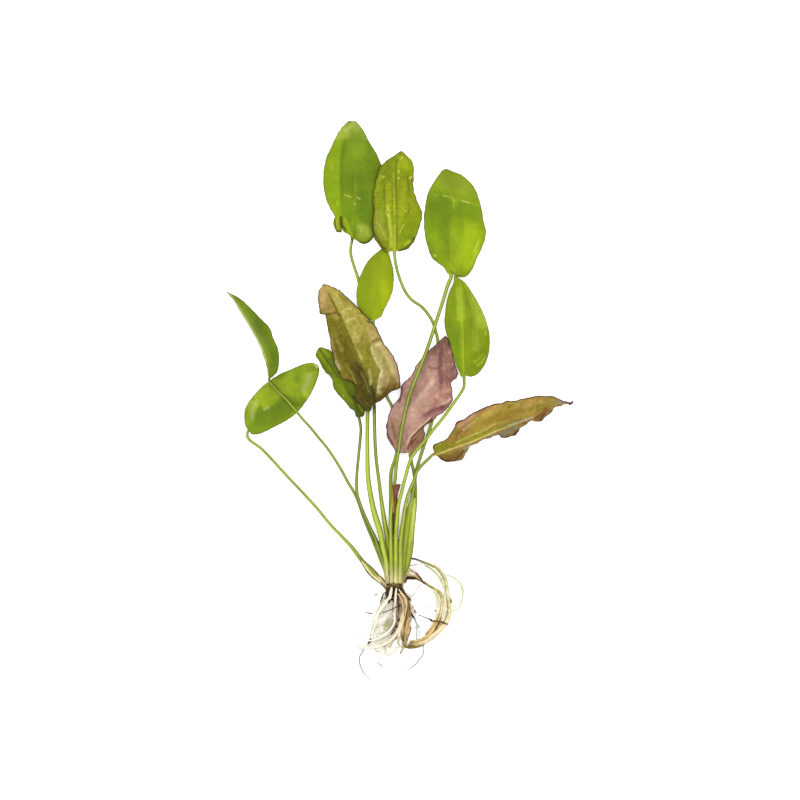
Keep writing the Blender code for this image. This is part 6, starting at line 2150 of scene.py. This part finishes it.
# %% A tangle of fine roots
FINE_ROOTS = 9
fine_roots = []
for i in range(FINE_ROOTS):
    share = i / (FINE_ROOTS - 1)
    chance = [math.sin(i * turn) for turn in (2.3, 4.7, 7.9, 11.3)]
    radius = 7.5 + 15.5 * share
    centre = (-15.0 + 1.4 * chance[0], -113.0 + 1.6 * chance[1])
    last = 1.55 + 0.35 * chance[2]
    route = [(-6.5 + 6.5 * share, -107.5 - 1.2 * abs(chance[3]), 3.4)] if share > 0.3 else []
    for k in range(6):
        turn = -0.25 + (last + 0.25) * k / 5
        place_x = centre[0] + radius * math.cos(turn)
        place_y = centre[1] - radius * 0.98 * math.sin(turn)
        route.append((round(place_x, 2), round(place_y, 2), round(2.6 - 0.4 * k + 0.2 * chance[k % 4], 2)))
    tone = ["#D4D0BF", "#D0CAB6", "#D6D4C8", "#CCC4AC"][i % 4]
    fine_roots.append((route, [0.45, 0.55 + 0.2 * chance[1], 0.5, 0.3], [tone, "#D6D4C8"]))
print("fine roots in the tangle:", len(fine_roots))

# %% Two mats of felted hairs
sheet = bmesh.new()
strip(
    sheet,
    points("""
    -8.1,-108.6,2 -11.7,-113,1.2 -14.5,-118.5,0.7 -16.4,-124.5,0.5 -17.8,-130,0.4 -18.9,-134.4,0.35
    """),
    points("""
    -0.7,-111.3,2.4 0.1,-116.8,1.8 0.1,-122.9,1.3 -1.3,-128.9,0.8 -5.1,-135,0.5 -11.2,-138.3,0.35
    """),
    0.02, 0.2, ["#DCDDD5", "#DCDCD2", "#DBD8CD", "#D8D2C4", "#D2C7B8", "#C3B19E"],
    rows=60, ragged=0.9, seed=3.0,
    strokes=marks("""
    #B2AD8B 0.8 1.4 -7.3,-121.2 -8.1,-124 -6.5,-124
    #C1B5A2 0.7 3 -4.6,-111.9 -2.4,-116.3 -1.8,-120.7
    #A79581 0.8 1.6 -1.3,-110.8 -0.7,-116.3 -1.3,-120.1
    #CAC7B3 0.6 2 -13.4,-131.7 -9,-131.7 -5.7,-129.5
    #C7C3AE 0.6 1.4 -12.3,-126.2 -9.5,-128.4 -6.8,-127.8
    """),
)
strip(
    sheet,
    points("-17.2,-134.4,0.3 -13.4,-137.7,0.3 -7.9,-140.5,0.3 -1.8,-139.9,0.3"),
    points("-15.6,-131.7,0.5 -11.2,-134.4,0.6 -5.1,-135.5,0.6 -0.2,-135,0.5"),
    0.02, 0.2, ["#D9D6CB", "#DCDAD0", "#D9D6CB", "#D2CDBB"],
    rows=40, ragged=0.7, seed=8.0,
)
print("faces of the mats:", len(sheet.faces))

# %% The long cream root
root_piece("long_cream_root", white_root, "root_cream_long", 0.05, fine_roots + strands("""
    -0.3,-106.6,4.6 1.6,-108.5,4 2.1,-111.4,3.5 1.2,-116.3,3.2 0.1,-121.3,3 -1.3,-125.7,2.8
    -3.8,-130.1,2.4 -7.9,-133.4,1.9 -13.1,-135.2,1.4 -20.6,-135.9,0.9 -23.9,-134.5,0.7 -25.3,-132.3,0.6
    / 1.6 1.5 1.5 1.3 1 / #AC966C #C3B18A #CEC1A0 #D4CBB1 #D9D2BB #DCD9C6;
    -0.8,-103.4,7.7 0.6,-105.5,6.8 2.3,-107.8,5.6 3.2,-110.8,4.8 3.4,-114.6,4.4
    / 0.7 1.1 1.1 0.8 / #C3AC88 #CAB592 #C3AC84 #B39B71;
    -1.5,-105.7,7 -0.1,-107.7,5.9 1,-110.2,5 1.5,-114.1,4.4 1,-118.5,3.6
    / 0.8 1 0.9 0.7 / #AC8B67 #BCA17C #AF966E #A78F67;
    -0.5,-107.5,5 0.3,-110.8,4.4 0.1,-114.6,4 -0.9,-118.5,3.4
    / 0.7 0.9 0.9 0.5 / #765C3E #91785D #8A735E #9F8D77;
    -1.5,-109.7,3.6 -0.8,-114.1,3.2 -1.6,-119,2.8 / 0.9 1.2 0.6 / #68523E #8A7565 #A19181;
    1.3,-115.2,3.9 1.5,-119.6,3.7 0.6,-124,3.3 -0.5,-127.8,2.8 / 0.9 1 0.9 0.5 / #CBB992 #D2C3A4 #D4C9AE;
    0.9,-118.5,3.2 -0.1,-124.5,2.9 -2.9,-129.5,2.4 -7.9,-133.3,1.8 -14.5,-136.1,1.2 -21.1,-136.5,0.8
    -24.1,-134.8,0.6 -25.4,-132.2,0.5 -25.2,-130,0.4
    / 0.9 1.1 1.1 0.8 0.5 0.5 / #D2C8AE #D6CFBA #D9D5C4 #C3C1BA #9B99A2 #918F99;
    1.5,-132.8,1.6 -1.8,-137.2,1.2 -6.8,-139.6,0.9 -11.7,-138.8,0.6 -16.1,-137.2,0.5
    / 0.5 0.8 0.7 0.4 / #CAC7BA #D0CEC1 #D4D2C8;
    -9,-135.3,1.2 -8.1,-137.2,1 -8.5,-138.6,0.9 / 0.3 0.6 0.3 / #ADAB8F #A4A083;
    -13.1,-143.5,0.3 -11.2,-145.1,0.3 -9,-147.1,0.3 / 0.5 0.75 0.5 / #8E8C7F #97968A
"""), sheet)

# %% The inner cream root
root_piece("inner_cream_root", white_root, "root_cream_inner", 0.05, strands("""
    -1.6,-106.7,2.4 -0.5,-110.8,1.8 -0.6,-116.3,1.4 -1.6,-121.8,1 -4.1,-127.3,0.8 -6.8,-131.7,0.6
    -11.2,-133.7,0.6
    / 1.1 1.1 1 0.8 / #BBA984 #C9BEA0 #D0C8B3 #D4CFBD;
    -1,-111.3,2.2 -2.6,-116.3,1.7 -3.2,-121.8,1.3 -6.2,-127.3,1 -11.2,-131.1,0.8 -16.1,-133.6,0.6
    / 0.6 0.7 0.7 0.5 / #CBBFA2 #D2CAB3 #D4CFBD;
    -1.3,-116.3,1.6 -0.7,-122.9,1.2 -2.4,-128.9,0.9 -6.8,-134.4,0.7 -12.8,-137.7,0.5 -17.8,-137.2,0.4
    / 0.5 0.6 0.5 0.3 / #C9C1A7 #D0CAB6 #D4CFBF
"""))

# %% The thin dark root
# Its last three short near-black strands are painted shade, laid in the shadowed gap between the white
# roots.
root_piece("thin_dark_root", dark_root, "root_dark_thin", 0.3, strands("""
    -1.1,-106.6,3.5 -1,-113,4 -1.3,-119.6,4 -2.9,-124.6,3.6 -5.1,-128.4,3
    / 0.6 0.6 0.4 0.6 0.35 / #5B4223 #503B22 #665437 #5B4C33 #453723;
    -0.5,-119.2,4.3 -1,-121.6,4.2 / 0.4 0.9 0.4 / #2F2011 #241A0E;
    -1.5,-123.1,4 -2.5,-125.1,3.8 / 0.4 0.8 0.3 / #241A0E #2F2313;
    -3.2,-125.8,3.6 -4.2,-127.3,3.4 -5.2,-128.9,3.2 / 0.4 0.8 0.4 / #241A0E #2F2313
"""))

# %% [markdown]
# ## The loop on the right
# Two thick old roots bend round in a loop. They start dark and thin, turn yellow-green and end cream and
# brown.

# %% The loop on the right
root_piece("outer_loop_root", tan_root, "root_tan_outer", 0.45, strands("""
    1.9,-100.4,0.8 1.8,-96,0.6 2.2,-91.5,0.6 3.4,-88,0.6 5.1,-86.8,0.6 7.7,-87,0.8 10.8,-88,1
    14.1,-89.3,1.1 18.2,-91,1.3 20.4,-92.1,1.4 22.6,-94.1,1.5 23.8,-95.9,1.6 25.1,-99.2,1.6
    25.8,-104.2,1.6 26.4,-108.6,1.5 27.1,-114.1,1.4 26.7,-117.9,1.3 25.4,-121.6,1.2 22.9,-124.5,1.2
    19.6,-127.6,1.1 16.6,-130,1.1 13.4,-132,1.05 9.2,-133.2,1 4.6,-133.4,0.8
    / 0.6 0.7 0.8 1.1 1.4 1.6 1.9 2.1 2.3 2.6 3 3.6 4 3.6 2.6 / #423A1D #423A1D #373114 #423C1F #7B7546
    #97925B #B2AF7B #BDB989 #C6C19E #BAB17D #CDC298 #D1C39A #D8C7A2 #D7C6A4 #B2A276 #7F6C46;
    5,-91,0.9 8.4,-90.1,0.8 12.5,-89.7,0.8 / 0.5 0.5 0.5 / #B2AF8D #A6A279;
    18,-90.7,1.2 19.6,-89.3,1.3 20.7,-88.2,1.2 / 0.5 0.4 0.3 / #C3BC88 #CFC8A2;
    27.5,-108.3,1.6 27.8,-110.3,1.5 27.5,-112.4,1.4 / 0.5 1.3 0.5 / #42331D #332817;
    25.4,-102,1.6 24.4,-104.2,2 24.3,-106.4,2.1 24.8,-109.7,2.3 24.9,-115.2,2.4 23.3,-120.7,2.3
    20.2,-125.1,2.3
    / 0.5 0.8 1 1.3 1.4 1.3 0.8 / #CBC59A #D3CBA2 #D1C79B #D9CAA2 #D7C28F #C9B47B;
    13,-90.3,1 18,-93.2,1.4 21.8,-97.6,1.7 24,-102.5,2 25.1,-107.5,2.2
    / 0.5 1 1.3 1.2 0.7 / #7B7B46 #ABAB6B #C3C191 #CBC79A;
    18.5,-91.2,1.2 22.2,-95.2,1.5 24.4,-99.8,1.6 / 0.3 0.5 0.3 / #6D6C38 #7F7E49;
    27.7,-113,1.3 27.6,-116.8,1.2 26.2,-121,1.1 23.5,-124.7,1 / 0.5 0.7 0.7 0.4 / #7B6330 #8A7039 #977D44;
    14.7,-129.7,2.7 11.2,-131.3,2.9 7.9,-132,2.8 5,-131.8,2.6 / 0.5 0.9 1 0.5 / #C3B47D #BAAD75 #A69B5B;
    15.2,-132.7,1.2 10.8,-134.9,1.1 6.8,-135.5,1 3.5,-135.2,1.2 0.9,-133,1.4
    / 0.5 1.2 1.6 2.2 1.4 / #977D44 #7B672F #6D5E29 #625324 #7B6C40;
    4.8,-133.7,1.9 2.4,-135.3,1.4 0.9,-137.5,0.9 0.1,-139.6,0.5
    / 0.8 0.9 0.6 0.3 / #A69266 #C3B28D #97866B;
    5.9,-132.2,2.6 3.5,-134.8,1.7 1.7,-137,1.1 / 0.6 0.7 0.4 / #B4A279 #CBBC9A;
    0.7,-128.4,2 -0.9,-131.1,1.7 -1,-133.7,1.4 0.7,-135.3,1.2 3.1,-134.8,1.2
    / 0.5 1.1 1.2 0.9 0.5 / #BDAF89 #B8AA82 #AE9D71 #978452
"""))

# %% The inner loop root
# The fourth strand is a dark thin line in the shadowed slit between the two loop strands: painted shade.
root_piece("inner_loop_root", tan_root, "root_brown_inner", 0.45, strands("""
    2.1,-100,3.2 3.4,-97.8,2.9 5.3,-96.8,2.6 8.1,-97.1,2 10.8,-98.7,1.7 12.8,-99.8,1.6 16.3,-102,1.5
    19.1,-103.7,1.4 21.6,-105.3,1.3 22.9,-108.6,1.3 22.9,-111.9,1.2 22.6,-114.9,1.2 22,-118,1.2
    20.4,-122.2,1.8 17.8,-126,2.5 15,-129.2,3 11.4,-131.5,3
    / 1.5 1.6 1.3 1.6 1.8 1.7 1.7 1.9 1.9 1.4 / #3D3314 #372D10 #54471B #978F46 #AEA869 #C3BA7E #CBBF8D
    #C6AF79 #C3A46D #AE945D;
    16.9,-102.2,1.9 18.9,-104.2,2.2 20.2,-107.5,2.2 20.7,-111.9,2 20.5,-116.3,1.9 19.3,-120.7,1.9
    16.9,-125.1,1.9 13.4,-128.8,2
    / 0.8 1.7 2 1.6 1.6 1.6 1.5 0.9 / #8A8446 #C3BF88 #D3CEA2 #D9D1B6 #D7CBAB #CCB98D #C6AA78 #BB9B66;
    17.8,-103.4,1.6 19.4,-106.2,1.6 20.2,-109.6,1.5 / 0.4 0.7 0.4 / #7F7B3B #979252;
    22.7,-118.5,2.9 21.3,-122,3.1 19.5,-125.4,3 18,-127.5,2.9 / 0.3 0.9 0.9 0.3 / #7B5922 #5F4117 #6D4C1B;
    11.7,-98.9,2.2 13,-100.6,2.1 14.4,-101.1,1.9 / 0.7 0.6 0.4 / #5F481F #7B672F;
    1.9,-97.8,3.6 4.2,-97.4,3.4 6.8,-97.8,2.6 9,-98.1,2 / 1.2 1.5 1.2 0.5 / #33280D #2D240B #423614
"""))

# %% The pale loop root
root_piece("pale_loop_root", pale_root, "root_pale_loop", 0.2, strands("""
    25.4,-96,0.8 27.6,-96.5,0.6 31.4,-98.7,0.5 33.9,-102,0.5 34.5,-105.3,0.5 33.9,-109.7,0.5 32.8,-113,0.5
    30.5,-115.6,0.6 28.7,-115.3,0.8
    / 0.9 1.05 1.05 0.8 / #C5C6A7 #B7BA98 #B3B892 #BEC1A2;
    26.8,-96.2,0.5 29.5,-97,0.4 32.6,-100.3,0.4 34.3,-105.3,0.4 / 0.5 0.6 0.5 / #C4C49F #BABD92
"""))

# %% [markdown]
# ## Thin roots inside the loop
# Thin olive, grey and brown roots run down inside the loop, and a small twig with a knot crosses it.

# %% Thin roots inside the loop
root_piece("olive_root", dark_root, "root_olive", 0.3, strands("""
    1,-105.6,2.4 3.1,-107.5,2.2 4.9,-110,1.8 6,-112.2,1.5 7.2,-114.6,1.2 9,-116.8,1
    / 1.2 0.9 0.7 / #453616 #5B4C22 #705D37 #5B3F2F #45352C;
    -0.1,-101.6,7 1.2,-103.7,6.4 2.7,-106.3,5.2 4.7,-108.6,3.8 6.2,-110.1,2.8
    / 1 1.6 1.5 1.3 0.8 / #453513 #453614 #50431D #5B4E22;
    6.2,-111.6,2.2 7.4,-114.3,2 8.9,-116.6,1.6 / 0.3 0.6 0.3 / #452A20 #50362D;
    6,-116,2.6 6.7,-118.3,2.4 8,-119.9,1.9 / 0.5 1.1 0.5 / #24160E #2F2019
"""))

# %% The grey thread root
root_piece("grey_thread_root", grey_root, "root_grey_thread", 0.1, strands("""
    4.7,-113,2.2 6.2,-116.9,1.6 7.8,-119.6,1.2 9,-122.9,0.9 9,-127.3,0.6 9,-131.6,0.6
    / 0.7 1 0.9 / #5C564B #8F9594 #B2B8B4 #C0C5BD;
    8.1,-120.9,1.3 10,-124,1 10.4,-127.8,0.7 10.3,-131.1,0.6 / 0.4 0.5 0.5 0.3 / #788081 #A2AAA8 #B3BAB4;
    5.9,-125.3,0.5 10.8,-124.2,0.4 15.8,-122.9,0.4 / 0.4 0.5 0.4 / #C6BFB4 #C0BCB1;
    5.3,-109.9,3.2 6.2,-113.2,2.9 7.6,-116.3,2.4 9,-118.7,1.6 / 1 1 0.8 0.4 / #D7CCB1 #D0C0AB #B09C99;
    11.4,-100.7,1.6 8.6,-104.7,1.2 6.4,-108,1.6 / 0.7 0.8 0.7 / #BBB7A7 #C2BEAD;
    13.6,-116.3,0.5 15.2,-113.8,0.4 17.4,-112.4,0.4 19.1,-112.2,0.4 / 0.5 0.55 0.5 / #BDC1C2 #B5BABB;
    18.7,-115.3,0.4 19.4,-115.5,0.4 20.2,-115.7,0.4 / 0.4 1.2 0.4 / #5C5B5F #6A696B
"""))

# %% The twig root
root_piece("twig_root", dark_root, "root_twig", 0.3, strands("""
    9.9,-117.6,1.4 13.4,-119,2.1 16.3,-120.1,2.9 17.2,-120.7,3.1 20.4,-121.2,3.3 22.9,-121.6,3.2
    26.8,-123.2,2.8
    / 0.5 0.6 0.8 0.6 0.5 / #504941 #45422E #4E431A #5B5022;
    15.9,-119.9,3.3 17,-120.7,3.5 18.2,-121.4,3.4 / 0.5 1.7 0.5 / #3A3914 #4E4823;
    18,-121.1,3.5 20.2,-121.2,3.6 22.1,-121,3.4 / 0.4 0.6 0.3 / #703A13 #663F19;
    21.8,-121.6,3.4 24.3,-122.2,3.2 26.7,-123.2,2.8 / 0.4 0.7 0.3 / #3C3511 #483F1A
"""))

# %% The upper fibre root
root_piece("upper_fibre_root", fibre_root, "root_fibre_upper", 0.35, strands("""
    2.1,-99,4.7 3.2,-95.4,4.4 4.6,-93.4,3.9 7.7,-94.3,3.2 10.6,-96.5,3.2 12.5,-99.2,3.1
    / 0.8 0.8 0.7 / #8E754C #A38C60 #8D7448 #665222;
    3.9,-91.7,2.6 6.1,-92.8,3.4 8.6,-95.2,4 11.9,-99,3.4 13.6,-101.1,2.8
    / 0.4 0.7 0.8 0.5 / #9C8667 #816649 #664B2C #4E3816;
    3.5,-93.6,3.2 5.9,-94.8,4.2 9.4,-97,3.9 13,-100.6,3
    / 0.5 0.8 0.6 0.4 / #BFB18C #C2B58F #A8926E #745832;
    3.4,-94.8,3.6 5.9,-95.6,4.2 8.9,-97,4 10.8,-98.5,3.6
    / 0.6 0.8 0.6 0.3 / #B19E73 #BDAB80 #A38C62 #81663E;
    2.9,-96.1,3.8 4.8,-96.1,4.2 7.3,-96.8,3.8 / 0.5 0.8 0.4 / #81693B #9C8657 #745A2F;
    7,-92.1,4.2 9.2,-94.3,3.9 11.2,-97,3.7 / 0.3 0.5 0.3 / #AD9884 #947460;
    5.6,-92.3,4.4 7.5,-91.5,4.2 8.4,-92.1,4 / 0.3 0.3 0.3 / #BFB598 #C2B89D
"""))

# %% [markdown]
# ## The longest hairs
# Two hair-fine roots reach lowest. They are the thinnest strands of the plant and nearly the colour of
# their own shadow.

# %% The longest hairs
root_piece("left_hair_root", grey_root, "root_hair_left", 0.1, strands("""
    -20.4,-136.9,0.6 -21,-138.8,0.4 -22.2,-140.4,0.3 -22.6,-142.4,0.3 -21.9,-145.9,0.3 -20.1,-149.7,0.3
    -16,-153.8,0.3
    / 0.85 0.85 0.75 0.6 / #838583 #868986 #9A9C97 #B2B4AC
"""))

# %% The right hair root
root_piece("right_hair_root", grey_root, "root_hair_right", 0.1, strands("""
    12.6,-133.7,0.6 12.9,-136.8,0.4 12.5,-139.6,0.3 10.5,-142.4,0.3 7.7,-145.6,0.3 2.9,-148.6,0.3
    / 0.7 0.8 0.8 0.6 / #A6A8A7 #8F9394 #989C9B #ABAEAA
"""))

# %% The crossing rootlet
root_piece("crossing_rootlet", dark_root, "rootlet_dark", 0.3, strands("""
    0.6,-112.2,4.9 -3.8,-114.1,4.9 -7,-115.6,4.3 -9.7,-116.6,3.4 / 0.6 0.5 / #3A2A17 #3C2D14 #483A22;
    -9.3,-115.9,3.4 -11.2,-117.2,2.6 -13.1,-118.4,1.8 / 0.35 0.35 0.25 / #867957 #918464;
    -14.8,-117,0.6 -16.9,-116.9,0.6 -19.1,-116.3,0.5 / 0.35 0.8 0.35 / #453C2C #3A3223
"""))
